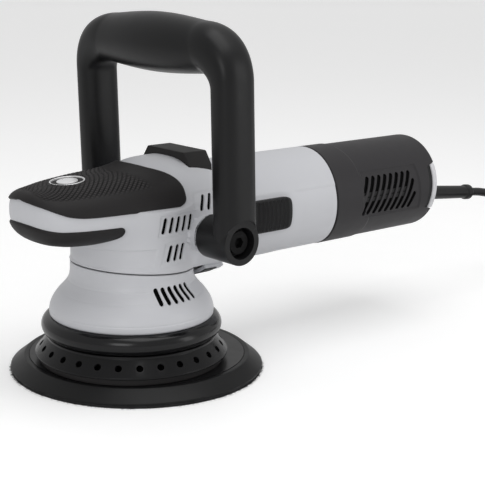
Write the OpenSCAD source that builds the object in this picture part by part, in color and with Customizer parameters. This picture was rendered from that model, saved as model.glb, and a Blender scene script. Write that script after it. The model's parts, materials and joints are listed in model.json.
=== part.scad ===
// Dual action polisher: a random orbit machine with a D handle, a palm nose and a hook-faced plate.
// +X runs along the motor shaft from the palm nose to the cord, +Z is up.
// The origin is where the main spindle's axis meets the underside of the backing plate.
// All sizes are in millimetres.

/* [Backing plate] */
// Diameter of the hook face
pad_d = 150; // [130:1:180]
// Width of the slanted rim seen from above
plate_bevel = 8; // [4:0.5:12]
// Upright height of the foam rim below the slant
plate_rim = 1.4; // [0.8:0.1:2]
// Thickness of the hook face
hook_t = 1.4; // [1:0.1:2]
// Thickness of the foam
foam_t = 4.8; // [4:0.1:8]
// Thickness of the stiff core
core_t = 3; // [2.5:0.1:5]
// Radius of the hole over the centre bolt
bolt_hole_r = 8; // [7.5:0.1:9]

/* [Orbit] */
// Diameter of the circle that the plate's centre runs on
throw = 21; // [12:0.5:22]
// Direction of the offset at rest, from +X towards +Y
orbit_angle = 35; // [0:5:355]

/* [Exhaust ring] */
// Radius of the lowest lip
lip_r = 56.5; // [54:0.5:64]
// Radius at the top of the slanted face
cone_top_r = 49.5; // [48:0.5:51]
// Height of the slanted face
cone_h = 8.6; // [7:0.1:12]
// Number of air holes in the slanted face
air_holes = 28; // [12:1:32]
// Diameter of each air hole
air_hole_d = 4; // [3:0.1:5]
// Radius of the bumper's round section
bumper_r = 6; // [5:0.1:6.5]

/* [Head] */
// Radius of the upright barrel round the gears
barrel_r = 36; // [35.5:0.5:42]
// Height of the split between the skirt and the head
split_z = 69; // [68:0.5:74]
// Wall of every casing
shell_t = 2.6; // [2:0.1:3]
// Radius of the skirt's foot
skirt_r = 48; // [47.5:0.5:54]
// Distance of the nose tip in front of the spindle
nose_reach = 75; // [74:1:96]
// Half the width of the nose behind its round tip
nose_half_w = 31; // [26:0.5:34]
// Thickness of the rubber covers on the nose
grip_t = 1.4; // [1:0.1:2]

/* [Motor] */
// Height of the motor shaft above the floor
motor_z = 89; // [88:0.5:93]
// Outside radius of the motor casing
motor_r = 32; // [30:0.5:39]
// Place of the joint between the head and the motor casing
joint_x = 52; // [51:1:60]
// Length of the motor casing
motor_len = 89; // [86:1:110]
// Length of the rear cover
cover_len = 95; // [92:1:120]
// Radius of the motor shaft
shaft_r = 5; // [4.5:0.1:6]
// Radius of the armature
armature_r = 17.5; // [14:0.5:19]

/* [Spindle] */
// Radius of the main spindle
spindle_r = 7.5; // [7:0.1:9]

/* [Handle] */
// Distance between the centres of the two legs
handle_span = 125; // [120:1:150]
// Height of the grip bar above the pivot
handle_rise = 106; // [96:1:130]
// Radius of the grip bar at its middle
grip_r = 17; // [14:0.5:18]
// Half the length of a leg's section along X
leg_half_x = 12.5; // [12:0.5:16]
// Half the thickness of a leg
leg_half_y = 8.5; // [8:0.5:11]
// Lean of the handle towards the nose at rest
handle_lean = 2.5; // [0:0.5:5]
// Radius of the handle bolts
bolt_r = 4; // [3:0.1:5]

/* [Switch and dial] */
// Length of the sliding switch knob
slider_len = 34; // [24:1:36]
// Height of the sliding switch knob
slider_h = 20; // [14:0.5:21]
// Travel of the sliding switch
slider_travel = 7; // [4:0.5:8]
// Radius of the speed dial
dial_r = 10.5; // [8:0.5:12]
// Thickness of the speed dial
dial_t = 6; // [4:0.5:8]

/* [Cord] */
// Diameter of the cord
cord_d = 6; // [5:0.1:7]
// Outside radius of the strain relief where it leaves the cap
relief_r = 6.2; // [5.5:0.1:7]

/* [Hidden] */

$fn = 64;
eps = 0.01;
fit_gap = 0.2;
run_gap = 0.05;
travel_gap = 0.3;

// heights of the stack, from the floor up
plate_h = hook_t + foam_t + core_t;
flange_h = 3.3;
pad_flange_top = plate_h + flange_h;
drag_z0 = plate_h + travel_gap;
lip_z0 = drag_z0 + 3.7;
lip_t = 1.2;
cone_z0 = lip_z0 + lip_t;
cone_z1 = cone_z0 + cone_h;
bumper_z = cone_z1 + 1.5 + bumper_r;
skirt_z0 = bumper_z + bumper_r;
collar_top_z = skirt_z0 + 3;
collar_r = skirt_r - shell_t - 0.9;
collar_t = 2.2;
orbit_r = throw / 2;
orbit = [orbit_r * cos(orbit_angle), orbit_r * sin(orbit_angle), 0];

// carrier and pad bearing
carrier_z0 = pad_flange_top + 1.5;
pad_bearing_h = 11;
pad_bearing_r = 13;
pad_spindle_r = 6;
carrier_web = 1.5;
carrier_mid_z = carrier_z0 + pad_bearing_h + carrier_web;
carrier_hub_z = carrier_mid_z + 11;
weight_top_z = carrier_mid_z + 5;
weight_r = collar_r - collar_t - 2;
ring_screw_r = collar_r - 5.2;
pillar_r = 3.4;
pillar_h = 6.5;

// spindle bearings, bevel gears and gear case
pinion_teeth = 10;
ring_teeth = 30;
ring_gear_r = 25.5;
neck_r = barrel_r - 0.4;
low_bearing_h = 10;
low_bearing_r = spindle_r + 10;
low_bearing_z = split_z - 1 - low_bearing_h;
plate_flange_z = split_z - 6.5;
ledge_t = 3;
ledge_z = plate_flange_z - ledge_t;
gear_apex_z = motor_z;
cone_ratio = pinion_teeth / ring_teeth;
cone_angle = atan(cone_ratio);
tooth_up = 1.2;
tooth_down = 1.7;
tooth_side = 0.95;
flank = tan(20);
ring_gear_in = ring_gear_r - 5;
gear_back_z = gear_apex_z - ring_gear_r * cone_ratio - 6;
gear_top_z = gear_apex_z - 7;
case_in_r = ring_gear_r + 1.8;
case_r = barrel_r - shell_t - 0.6;
screw_ring_r = (case_in_r + case_r) / 2 - 0.1;
top_bearing_r = 9.5;
top_bearing_h = 8;
top_bearing_z = gear_apex_z + 6;
case_top_z = top_bearing_z + top_bearing_h + 2;
stub_r = 5;
gear_seat_r = 6.5;
m4_r = 2;
m4_head_r = 3.5;
m4_head_h = 3;
m3_r = 1.5;
m3_head_r = 2.7;
m3_head_h = 2.5;

// motor stations along X
motor_in_r = motor_r - shell_t;
motor_end_x = joint_x + motor_len;
flange_t = 4;
front_bearing_x = joint_x - 19;
front_bearing_r = 13;
front_bearing_w = 10;
fan_x = joint_x + 9;
fan_w = 10;
fan_r = motor_in_r - 3;
core_x = joint_x + 33;
core_len = 45;
winding_w = 7;
field_x = core_x - 1;
field_len = core_len + 2;
field_r = motor_in_r - fit_gap;
air_gap = 0.7;
coil_in_r = armature_r + air_gap + 2.2;
coil_out_r = field_r - 3;
coil_over = 7;
commutator_x = core_x + core_len + winding_w + 8;
commutator_len = 18;
commutator_r = 12;
rear_bearing_x = motor_end_x + 39;
rear_bearing_r = 11;
rear_bearing_w = 9;
sleeve_x1 = motor_end_x + 53;
sleeve_r = motor_in_r - 0.6;
sleeve_t = 2.4;
cover_end_x = motor_end_x + cover_len;
cap_t = 6;
notch_half_z = 16;
notch_x = 8;

// handle
pivot = [24.6, 0, 86.6];
boss_r = 14;
boss_face_y = 41.5;
washer_t = 1.2;
hub_in_y = boss_face_y + washer_t + travel_gap;
hub_r = 12;
hub_face_y = handle_span / 2 + 6;
hub_bore_r = bolt_r + 0.08;
hub_pocket_r = 9;
hub_pocket_y = hub_face_y - 8;
bolt_head_r = 6.5;
bolt_head_h = 5;
leg_corner_r = 8;
elbow_r = 22;
bolt_deep_y = motor_r - 6;

// switch
slider_x = 63;
slider_in_y = motor_r + travel_gap;
slider_out_y = slider_in_y + 2.6;
slot_half_z = 4;
peg_x = slider_x + 14;
peg_len = 10;
rod_half_z = 3;
rod_in_y = motor_in_r + 0.1;
rod_out_y = motor_r - 1.1;
rod_x0 = slider_x + 10;
rod_x1 = sleeve_x1 + 12;
hook_w = 3;
switch_x = rod_x1 + 3;
dial_x = cover_end_x - 20;
dial_y = motor_r + 2.5 - dial_r;

// cord and plug
relief_tail = [312, 0, 71];
relief_root = [cover_end_x, 0, 79];
relief_run = norm(relief_tail - relief_root);
relief_tilt = asin((relief_root[2] - relief_tail[2]) / relief_run);
relief_in = 12;
coil_at = [430, -57];
coil_in_turn_r = 29;
coil_columns = 4;
coil_layers = 4;
coil_out_turn_r = coil_in_turn_r + (coil_columns - 1) * 6;
lead_route = [[312, 0, 71], [324, 0, 69.5], [336, 0, 66.5], [347, 0, 61], [356, 0, 53], [363, 0, 43],
    [369, -1, 32], [376, -3, 21.5], [385, -5, 12.5], [396, -7.5, 6], [408, -9.5, 3.2], [419, -10, 3],
    [430, -10, 3]];
tail_route = [[430, -104, 21], [419, -104, 20.5], [408, -104, 18.5], [397, -104, 15], [387, -104, 11.5],
    [378, -104, 9.2], [370, -104, 8.5]];
plug_at = [370, -104, 8.5];
plug_grip = 26;
plug_len = 22;
plug_half_w = 17.5;
plug_half_t = 8.5;
pin_r = 2.4;
pin_len = 19;
pin_gap = 19;

// helpers

// turns something built up from the XY plane so that it runs along +X at the shaft's height
module on_shaft(x) {
    translate([x, 0, motor_z]) rotate([0, 90, 0]) children();
}

// repeats on both sides of the machine
module both_sides() {
    children();
    mirror([0, 1, 0]) children();
}

module ring(r_out, r_in, h) {
    difference() {
        cylinder(r = r_out, h = h);
        translate([0, 0, -1]) cylinder(r = r_in, h = h + 2);
    }
}

// a square with round corners, centred
module round_plate(half_x, half_y, r) {
    square([2 * half_x - 2 * r, 2 * half_y], center = true);
    square([2 * half_x, 2 * half_y - 2 * r], center = true);
    for (sx = [-1, 1], sy = [-1, 1])
        translate([sx * (half_x - r), sy * (half_y - r)]) circle(r = r);
}

// one ring of a loft: a rounded rectangle across X, with station = [x, half width, top, bottom]
function squarish(a, power) = sign(a) * pow(abs(a), power);
function loft_ring(s, grow, sides) = [for (k = [0 : sides - 1])
    let (a = 360 * k / sides, half_h = (s[2] - s[3]) / 2 + grow, mid = (s[2] + s[3]) / 2)
    [s[0], (s[1] + grow) * squarish(cos(a), 0.8), mid + half_h * squarish(sin(a), 0.8)]];

// a closed skin through the rings of several stations, each grown outwards
module loft(stations, grow = 0, sides = 28) {
    rings = len(stations);
    pts = [for (s = stations) each loft_ring(s, grow, sides)];
    sidewalls = [for (i = [0 : rings - 2], k = [0 : sides - 1])
        let (n = (k + 1) % sides)
        each [[i * sides + k, (i + 1) * sides + n, i * sides + n],
              [i * sides + k, (i + 1) * sides + k, (i + 1) * sides + n]]];
    front = [for (k = [0 : sides - 1]) k];
    back = [for (k = [sides - 1 : -1 : 0]) (rings - 1) * sides + k];
    polyhedron(points = pts, faces = concat([front], sidewalls, [back]));
}

// a tube of the cord's diameter along a route
function unit(v) = v / norm(v);
function route_dir(p, i) = unit(p[min(i + 1, len(p) - 1)] - p[max(i - 1, 0)]);
module cord_tube(route, sides = 10) {
    n = len(route);
    pts = [for (i = [0 : n - 1])
        let (d = route_dir(route, i), across = unit(cross([0, 0, 1], d)), up = cross(d, across))
        for (k = [0 : sides - 1])
            route[i] + cord_d / 2 * (cos(360 * k / sides) * across + sin(360 * k / sides) * up)];
    walls = [for (i = [0 : n - 2], k = [0 : sides - 1])
        let (m = (k + 1) % sides)
        each [[i * sides + k, (i + 1) * sides + m, i * sides + m],
              [i * sides + k, (i + 1) * sides + k, (i + 1) * sides + m]]];
    start = [for (k = [0 : sides - 1]) k];
    end = [for (k = [sides - 1 : -1 : 0]) (n - 1) * sides + k];
    polyhedron(points = pts, faces = concat([start], walls, [end]));
}

// head stations: x, half width, top and bottom
nose_low = 85;
tip_z = 108;
crown_z = 127;
barrel_top_z = motor_z + 12;
skin_gap = 0.02;
head_stations = [
    [-nose_reach, 6, tip_z + 4, tip_z - 4],
    [-nose_reach + 1.5, nose_half_w - 18, tip_z + 6, tip_z - 9],
    [-nose_reach + 6, nose_half_w - 12, tip_z + 7.3, tip_z - 15],
    [-nose_reach + 14, nose_half_w - 6.5, crown_z - 10.7, tip_z - 19.5],
    [-nose_reach + 25, nose_half_w - 3, crown_z - 9.2, nose_low + 1],
    [-nose_reach + 40, nose_half_w, crown_z - 7.6, nose_low],
    [-nose_reach + 60, nose_half_w + 2.5, crown_z - 5.3, nose_low],
    [-6, barrel_r - 1, crown_z - 3.5, nose_low - 1],
    [12, barrel_r - 0.5, crown_z, nose_low - 7],
    [26, barrel_r - 0.5, crown_z, motor_z - motor_r - 1],
    [36, barrel_r - 2, crown_z - 1, motor_z - motor_r - 1],
    [joint_x, motor_r + 0.4, motor_z + motor_r + 0.4, motor_z - motor_r - 0.4]
];

// the hollow starts a wall behind the tip and runs out through the rear face
last = len(head_stations) - 1;
hollow_stations = [for (i = [1 : last])
    head_stations[i] + [i == 1 ? shell_t : (i == last ? 1 : 0), 0, 0, 0]];

// how far the skirt has flared out, from its neck to its foot, at shares of its height
flare = [[0.07, 1], [0.14, 0.97], [0.23, 0.9], [0.31, 0.78], [0.4, 0.6], [0.49, 0.38], [0.55, 0.25],
    [0.61, 0.14], [0.69, 0.05], [0.78, 0]];

module skirt_profile(grow) {
    h = split_z - skirt_z0;
    polygon(concat([[0, skirt_z0], [skirt_r - 0.6 + grow, skirt_z0]],
        [for (f = flare) [neck_r + f[1] * (skirt_r - neck_r) + grow, skirt_z0 + f[0] * h]],
        [[neck_r + grow, split_z], [0, split_z]]));
}

// a row of slanted slots through a side wall, from [x, z] backwards, on the -Y side
slot_w = 1.8;
module side_slots(x, z, count, pitch, h, lean) {
    for (i = [0 : count - 1]) translate([x + pitch * i, -barrel_r, z]) rotate([0, lean, 0])
        cube([slot_w, 16, h], center = true);
}

// housing pieces

module head_housing() color("lightgray") {
    difference() {
        union() {
            loft(head_stations);
            translate([0, 0, split_z]) cylinder(r = barrel_r, h = barrel_top_z - split_z);
            both_sides() translate([pivot[0], -boss_face_y, pivot[2]]) rotate([-90, 0, 0])
                cylinder(r = boss_r, h = boss_face_y - 20);
        }
        difference() {
            loft(hollow_stations, -shell_t);
            both_sides() translate([pivot[0], -boss_face_y, pivot[2]]) rotate([-90, 0, 0])
                cylinder(r = boss_r - 4, h = boss_face_y - case_r - 1);
        }
        translate([0, 0, split_z - 1]) cylinder(r = barrel_r - shell_t, h = motor_z - split_z + 11);
        both_sides() translate([pivot[0], -boss_face_y - 1, pivot[2]]) rotate([-90, 0, 0])
            cylinder(r = bolt_r + run_gap, h = boss_face_y);
        both_sides() side_slots(-3.2, 94.5, 5, 4.7, 9, 6);
        both_sides() side_slots(0.2, 78, 3, 4.4, 9.5, 14);
        both_sides() side_slots(22.5, pivot[2] + boss_r + 5, 2, 4.8, 7, 6);
        translate([0, 0, split_z - 20]) cylinder(r = barrel_r + 20, h = 20);
        translate([joint_x, -motor_r - 5, motor_z - motor_r - 5])
            cube([10, 2 * motor_r + 10, 2 * motor_r + 10]);
    }
}

skirt_slots = 6;
skirt_slot_step = 6.8;
module head_skirt() color("lightgray") {
    difference() {
        union() {
            difference() {
                rotate_extrude() skirt_profile(0);
                difference() {
                    rotate_extrude() skirt_profile(-shell_t);
                    translate([0, 0, ledge_z]) ring(barrel_r, low_bearing_r + 4.5, ledge_t);
                }
            }
            for (a = [90, 210, 330]) rotate(a) {
                translate([ring_screw_r, 0, collar_top_z]) cylinder(r = pillar_r, h = pillar_h);
                translate([ring_screw_r, -pillar_r, collar_top_z])
                    cube([neck_r + 0.7 * (skirt_r - neck_r) - ring_screw_r, 2 * pillar_r, pillar_h]);
            }
        }
        for (a = [90, 210, 330]) rotate(a) translate([ring_screw_r, 0, collar_top_z - 1])
            cylinder(r = m3_r + run_gap, h = pillar_h + 0.5);
        for (a = [45 : 90 : 315]) rotate(a) translate([screw_ring_r, 0, ledge_z - 1])
            cylinder(r = m4_r + run_gap, h = ledge_t + 2);
        translate([0, 0, skirt_z0 - 1]) cylinder(r = collar_r + fit_gap, h = 4);
        both_sides() for (i = [0 : skirt_slots - 1])
            rotate(2.5 + skirt_slot_step * (i - (skirt_slots - 1) / 2))
                translate([0, -neck_r - 3, ledge_z - 4.6]) rotate([0, -12, 0])
                    cube([slot_w, 18, 8], center = true);
    }
}

module bumper_ring() color("#151515") {
    rotate_extrude() intersection() {
        translate([collar_r + 2.3, bumper_z]) circle(r = bumper_r);
        translate([collar_r, bumper_z - bumper_r]) square([30, 2 * bumper_r]);
    }
}

module exhaust_ring() color("#1c1c1c") {
    cone_tilt = atan((lip_r - cone_top_r) / cone_h);
    difference() {
        rotate_extrude() polygon([[lip_r - 9.5, lip_z0], [lip_r, lip_z0], [lip_r, cone_z0],
            [cone_top_r, cone_z1], [cone_top_r, cone_z1 + 1.5], [collar_r, cone_z1 + 1.5],
            [collar_r, collar_top_z], [collar_r - 9, collar_top_z], [collar_r - 9, collar_top_z - 2.5],
            [collar_r - collar_t, collar_top_z - 2.5], [collar_r - collar_t, cone_z1 - 0.5],
            [cone_top_r - 1.6, cone_z1 - 0.5], [lip_r - 2.8, cone_z0 + 0.5], [lip_r - 9.5, cone_z0 + 0.5]]);
        for (i = [0 : air_holes - 1]) rotate(360 * (i + 0.5) / air_holes)
            translate([(lip_r + cone_top_r) / 2, 0, (cone_z0 + cone_z1) / 2 + 0.3])
                rotate([0, 90 - cone_tilt, 0]) translate([0, 0, -5]) cylinder(r = air_hole_d / 2, h = 10);
        for (a = [90, 210, 330]) rotate(a) translate([ring_screw_r, 0, collar_top_z - 4])
            cylinder(r = m3_r + run_gap, h = 6);
    }
}

module drag_skirt() color("#222222") {
    rotate_extrude() polygon([[lip_r - 8.5, lip_z0], [lip_r - 2.5, lip_z0], [lip_r - 2.5, drag_z0],
        [lip_r - 4, drag_z0], [lip_r - 4, lip_z0 - 1.4], [lip_r - 8.5, lip_z0 - 1.4]]);
}

// the part of a skin on the nose inside an outline drawn on its side view
module nose_skin(outline) {
    intersection() {
        difference() {
            loft(head_stations, grip_t);
            loft(head_stations, skin_gap);
            translate([0, 0, split_z]) cylinder(r = barrel_r + skin_gap, h = barrel_top_z - split_z);
        }
        rotate([90, 0, 0]) translate([0, 0, -60]) linear_extrude(height = 120) polygon(outline);
    }
}

// the grip covers the crown down to a line that drops behind the tip
grip_z = 104;
grip_outline = [[-nose_reach - 5, tip_z + 4.5], [-nose_reach + 1, tip_z + 4.2], [-nose_reach + 5, tip_z + 2],
    [-nose_reach + 10, grip_z + 3.5], [-nose_reach + 16, grip_z + 1.2], [-nose_reach + 24, grip_z + 0.3],
    [-nose_reach + 35, grip_z], [7, grip_z], [10.5, grip_z + 2], [11.6, grip_z + 6], [11, grip_z + 10],
    [10, grip_z + 13.5], [8, crown_z - 6], [5, crown_z - 3.7], [1, crown_z - 1.7], [-4, crown_z + 5],
    [-nose_reach - 5, crown_z + 5]];

badge_r = 9;
badge_x = -44;
badge_tilt = 5.5;
badge_z = crown_z - 8.1;
module badge_place() {
    translate([badge_x, 0, badge_z]) rotate([0, -badge_tilt, 0]) children();
}

module nose_grip() color("#2b2a2a") {
    difference() {
        nose_skin(grip_outline);
        badge_place() translate([0, 0, -5]) cylinder(r = badge_r + fit_gap, h = 20);
    }
}

module nose_badge() color("silver") {
    badge_place() cylinder(r = badge_r, h = grip_t);
}

// the strip runs round the tip and along the bottom edge to a round end
strip_top_z = 96.5;
strip_low_z = 86.5;
strip_end_x = -26;
strip_outline = [[-nose_reach - 5, tip_z - 4], [-nose_reach + 0.5, tip_z - 5],
    [-nose_reach + 3, strip_top_z + 2], [-nose_reach + 8, strip_top_z + 0.3],
    [-nose_reach + 15, strip_top_z], [strip_end_x - 7, strip_top_z],
    [strip_end_x - 2.5, strip_top_z - 1.2], [strip_end_x - 0.4, strip_top_z - 3.5],
    [strip_end_x, strip_top_z - 6], [strip_end_x - 1.5, strip_low_z + 1.2], [strip_end_x - 5, strip_low_z],
    [-nose_reach - 5, strip_low_z]];

module nose_strip() color("#2b2a2a") nose_skin(strip_outline);

rest_x = 24;
rest_len = 18;
rest_half_w = 23;
rest_rise = 4;
module rest_pad() color("#1c1c1c") {
    difference() {
        translate([rest_x, 0, crown_z - 9]) rotate([90, 0, 90]) linear_extrude(height = rest_len)
            polygon([[-rest_half_w, 0], [rest_half_w, 0], [rest_half_w - 0.5, 4.5],
                [rest_half_w - 6, 9 + rest_rise], [6 - rest_half_w, 9 + rest_rise],
                [0.5 - rest_half_w, 4.5]]);
        loft(head_stations, skin_gap);
    }
}

module motor_housing() color("lightgray") {
    difference() {
        union() {
            on_shaft(joint_x) cylinder(r = motor_r, h = motor_len);
            on_shaft(motor_end_x - 1) cylinder(r = sleeve_r, h = sleeve_x1 - motor_end_x + 1);
        }
        on_shaft(joint_x + flange_t) cylinder(r = motor_in_r, h = motor_len - flange_t - 3);
        on_shaft(motor_end_x - 4) cylinder(r = sleeve_r - sleeve_t, h = sleeve_x1 - motor_end_x - 10);
        on_shaft(joint_x - 1) cylinder(r = 20, h = flange_t + 2);
        on_shaft(rear_bearing_x) cylinder(r = rear_bearing_r, h = rear_bearing_w);
        on_shaft(rear_bearing_x - 5) cylinder(r = shaft_r + 3, h = 40);
        for (a = [45 : 90 : 315]) on_shaft(joint_x - 1) rotate(a) translate([24.5, 0, 0])
            cylinder(r = m4_r + run_gap, h = flange_t + 2);
        for (a = [45 : 90 : 315]) on_shaft(motor_end_x + 1) rotate(a) translate([sleeve_r, 0, 4])
            rotate([0, 90, 0]) translate([0, 0, -6]) cylinder(r = m3_r + run_gap, h = 12);
        translate([slider_x, -motor_r - 5, motor_z - slot_half_z])
            cube([slider_len - 4, 8, 2 * slot_half_z]);
        translate([joint_x + flange_t + 1, -rod_out_y - 0.3, motor_z - rod_half_z - 0.5])
            cube([motor_len, 10, 2 * rod_half_z + 1]);
        both_sides() translate([commutator_x + 3, -40, motor_z - 5.2]) cube([12.4, 30, 10.4]);
    }
}

module rear_cover() color("#38363a") {
    difference() {
        on_shaft(motor_end_x) cylinder(r = motor_r, h = cover_len);
        on_shaft(motor_end_x - 1) cylinder(r = motor_in_r, h = cover_len + 2);
        both_sides() translate([cover_end_x - notch_x, -motor_r - 5, motor_z - notch_half_z])
            cube([20, 12, 2 * notch_half_z]);
        translate([motor_end_x - 1, -rod_out_y - 0.3, motor_z - rod_half_z - 0.5])
            cube([rod_x1 - motor_end_x + 4, 10, 2 * rod_half_z + 1]);
        both_sides() for (i = [0 : 9]) translate([motor_end_x + 22 + 5.2 * i, -motor_r, motor_z + 1])
            rotate([0, 12, 0]) cube([2.2, 16, 22], center = true);
        for (a = [45 : 90 : 315]) on_shaft(motor_end_x + 1) rotate(a) translate([sleeve_r, 0, 4])
            rotate([0, 90, 0]) translate([0, 0, -2]) cylinder(r = m3_r + run_gap, h = 12);
        translate([dial_x - dial_r - 1, motor_in_r - 8, motor_z - dial_t / 2 - 0.5])
            cube([2 * dial_r + 2, 20, dial_t + 1]);
    }
}

module rear_cap() color("silver") {
    difference() {
        union() {
            on_shaft(cover_end_x - cap_t) cylinder(r = motor_in_r - fit_gap, h = cap_t);
            intersection() {
                on_shaft(cover_end_x - cap_t) cylinder(r = motor_r, h = cap_t);
                translate([cover_end_x - cap_t, -motor_r - 1, motor_z - notch_half_z + fit_gap])
                    cube([cap_t, 2 * motor_r + 2, 2 * notch_half_z - 2 * fit_gap]);
            }
        }
        relief_place() translate([0, 0, -relief_in - 1]) cylinder(r = relief_r + fit_gap, h = 40);
    }
}

// gear case and bearings

module gear_case() color("#b8bbbe") {
    difference() {
        union() {
            translate([0, 0, split_z]) cylinder(r = case_r, h = gear_apex_z + 4 - split_z);
            translate([0, 0, gear_apex_z]) cylinder(r = top_bearing_r + 4, h = case_top_z - gear_apex_z);
            on_shaft(10) cylinder(r = front_bearing_r + 3.5, h = joint_x - 10);
            on_shaft(joint_x - 6) cylinder(r = motor_in_r - 1, h = 6);
        }
        translate([0, 0, split_z - 1]) cylinder(r = case_in_r, h = gear_apex_z - split_z);
        translate([0, 0, split_z]) cylinder(r = stub_r + 2, h = 60);
        translate([0, 0, top_bearing_z]) cylinder(r = top_bearing_r, h = top_bearing_h);
        on_shaft(0) cylinder(r = front_bearing_r - 2, h = joint_x + 1);
        on_shaft(front_bearing_x) cylinder(r = front_bearing_r, h = joint_x);
        for (a = [45 : 90 : 315]) on_shaft(joint_x - 8) rotate(a) translate([24.5, 0, 0])
            cylinder(r = m4_r + run_gap, h = 10);
        for (a = [45 : 90 : 315]) rotate(a) translate([screw_ring_r, 0, split_z - 1])
            cylinder(r = m4_r + run_gap, h = 14);
        both_sides() translate([pivot[0], -boss_face_y, pivot[2]]) rotate([-90, 0, 0])
            cylinder(r = bolt_r + run_gap, h = boss_face_y - bolt_deep_y + 0.5);
    }
}

module bearing_plate() color("#aeb1b4") {
    difference() {
        union() {
            translate([0, 0, plate_flange_z]) cylinder(r = neck_r - shell_t - fit_gap,
                h = split_z - plate_flange_z);
            translate([0, 0, low_bearing_z - 2]) cylinder(r = low_bearing_r + 4, h = low_bearing_h);
        }
        translate([0, 0, low_bearing_z]) cylinder(r = low_bearing_r, h = low_bearing_h + 5);
        translate([0, 0, low_bearing_z - 5]) cylinder(r = spindle_r + 3, h = 10);
        for (a = [45 : 90 : 315]) rotate(a) translate([screw_ring_r, 0, plate_flange_z - 1])
            cylinder(r = m4_r + run_gap, h = 12);
    }
}

// a ball bearing: two races, a cage of balls and two shields, as one sealed unit
module bearing(r_out, r_in, w) {
    difference() {
        cylinder(r = r_out, h = w);
        translate([0, 0, -1]) cylinder(r = r_in + run_gap, h = w + 2);
        for (z = [-1, w - 0.6]) translate([0, 0, z])
            ring(r_out - (r_out - r_in) * 0.28, r_in + (r_out - r_in) * 0.28, 1.6);
    }
}

module front_bearing() color("#9a9da0")
    on_shaft(front_bearing_x) bearing(front_bearing_r, shaft_r, front_bearing_w);

module rear_bearing() color("#9a9da0")
    on_shaft(rear_bearing_x) bearing(rear_bearing_r, shaft_r, rear_bearing_w);

module spindle_top_bearing() color("#9a9da0")
    translate([0, 0, top_bearing_z]) bearing(top_bearing_r, stub_r, top_bearing_h);

module spindle_low_bearing() color("#9a9da0")
    translate([0, 0, low_bearing_z]) bearing(low_bearing_r, spindle_r, low_bearing_h);

// fasteners

module socket_screw(r, length, head_r, head_h) {
    difference() {
        union() {
            cylinder(r = r, h = length);
            translate([0, 0, -head_h]) cylinder(r = head_r, h = head_h);
        }
        translate([0, 0, -head_h - 1]) cylinder(r = head_r * 0.5, h = head_h * 0.6 + 1, $fn = 6);
    }
}

module case_screws() color("#6f7276")
    for (a = [45 : 90 : 315]) rotate(a) translate([screw_ring_r, 0, ledge_z])
        socket_screw(m4_r, split_z - ledge_z + 11, m4_head_r, m4_head_h);

module ring_screws() color("#6f7276")
    for (a = [90, 210, 330]) rotate(a) translate([ring_screw_r, 0, collar_top_z - 2.5])
        socket_screw(m3_r, pillar_h + 1.5, m3_head_r, m3_head_h);

module motor_screws() color("#6f7276")
    for (a = [45 : 90 : 315]) on_shaft(joint_x + flange_t) rotate(a) translate([24.5, 0, 0])
        mirror([0, 0, 1]) socket_screw(m4_r, flange_t + 6, m4_head_r, m4_head_h);

module cover_screws() color("#3a3a3c")
    for (a = [45 : 90 : 315]) on_shaft(motor_end_x + 5) rotate(a) translate([motor_r - 1.2, 0, 0])
        rotate([0, -90, 0]) cylinder(r = m3_r, h = 5);

// motor pieces

module field_core() color("#77706a") {
    on_shaft(field_x) difference() {
        ring(field_r, armature_r + air_gap, field_len);
        for (a = [0, 180]) translate([0, 0, -1]) rotate(a - 51) rotate_extrude(angle = 102)
            translate([coil_in_r - fit_gap, 0]) square([coil_out_r - coil_in_r + 2 * fit_gap, field_len + 2]);
    }
}

module field_coils() color("#b4693a") {
    for (a = [0, 180]) on_shaft(field_x - coil_over) rotate(a - 50) rotate_extrude(angle = 100)
        translate([coil_in_r, 0]) square([coil_out_r - coil_in_r, field_len + 2 * coil_over]);
}

module armature_shaft() color("#c4c6c8") {
    on_shaft(17) cylinder(r = shaft_r - 1, h = front_bearing_x - 19);
    on_shaft(front_bearing_x - 2)
        cylinder(r = shaft_r, h = rear_bearing_x + rear_bearing_w - front_bearing_x + 4);
}

module armature_core() color("#6a6662") {
    on_shaft(core_x) difference() {
        cylinder(r = armature_r, h = core_len);
        translate([0, 0, -1]) cylinder(r = shaft_r, h = core_len + 2);
        for (i = [0 : 11]) rotate(30 * i) translate([armature_r - 3, 0, core_len / 2])
            cube([8, 2.4, core_len + 2], center = true);
    }
}

module armature_windings() color("#b4693a") {
    for (x = [core_x - winding_w, core_x + core_len]) on_shaft(x)
        ring(armature_r - 2, shaft_r + fit_gap, winding_w);
}

module commutator() color("#c07a44") {
    on_shaft(commutator_x) difference() {
        cylinder(r = commutator_r, h = commutator_len);
        translate([0, 0, -1]) cylinder(r = shaft_r, h = commutator_len + 2);
        for (i = [0 : 23]) rotate(15 * i) translate([commutator_r, 0, commutator_len / 2])
            cube([2.4, 0.6, commutator_len + 2], center = true);
    }
}

fan_blades = 11;
module cooling_fan() color("#2a2a2c") {
    on_shaft(fan_x) difference() {
        union() {
            cylinder(r = 9, h = fan_w);
            cylinder(r = fan_r, h = 2);
            for (i = [0 : fan_blades - 1]) rotate(360 * i / fan_blades) translate([8, -0.8, 1])
                cube([fan_r - 8.5, 1.6, fan_w - 1]);
        }
        translate([0, 0, -1]) cylinder(r = shaft_r, h = fan_w + 2);
    }
}

brush_len = 9;
brush_w = 7;
brush_wall = 1.4;
brush_x = commutator_x + 9.2;
brush_y = commutator_r + 1;
holder_half_w = brush_w / 2 + 0.1 + brush_wall;
holder_end_y = sleeve_r - sleeve_t - 2 * fit_gap;
module brush_holders() color("#c9a24e") {
    both_sides() translate([brush_x, -brush_y, motor_z]) rotate([90, 0, 0])
        linear_extrude(height = holder_end_y - brush_y) difference() {
            square([brush_len + 0.2 + 2 * brush_wall, 2 * holder_half_w], center = true);
            square([brush_len + 0.2, brush_w + 0.2], center = true);
        }
}

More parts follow.
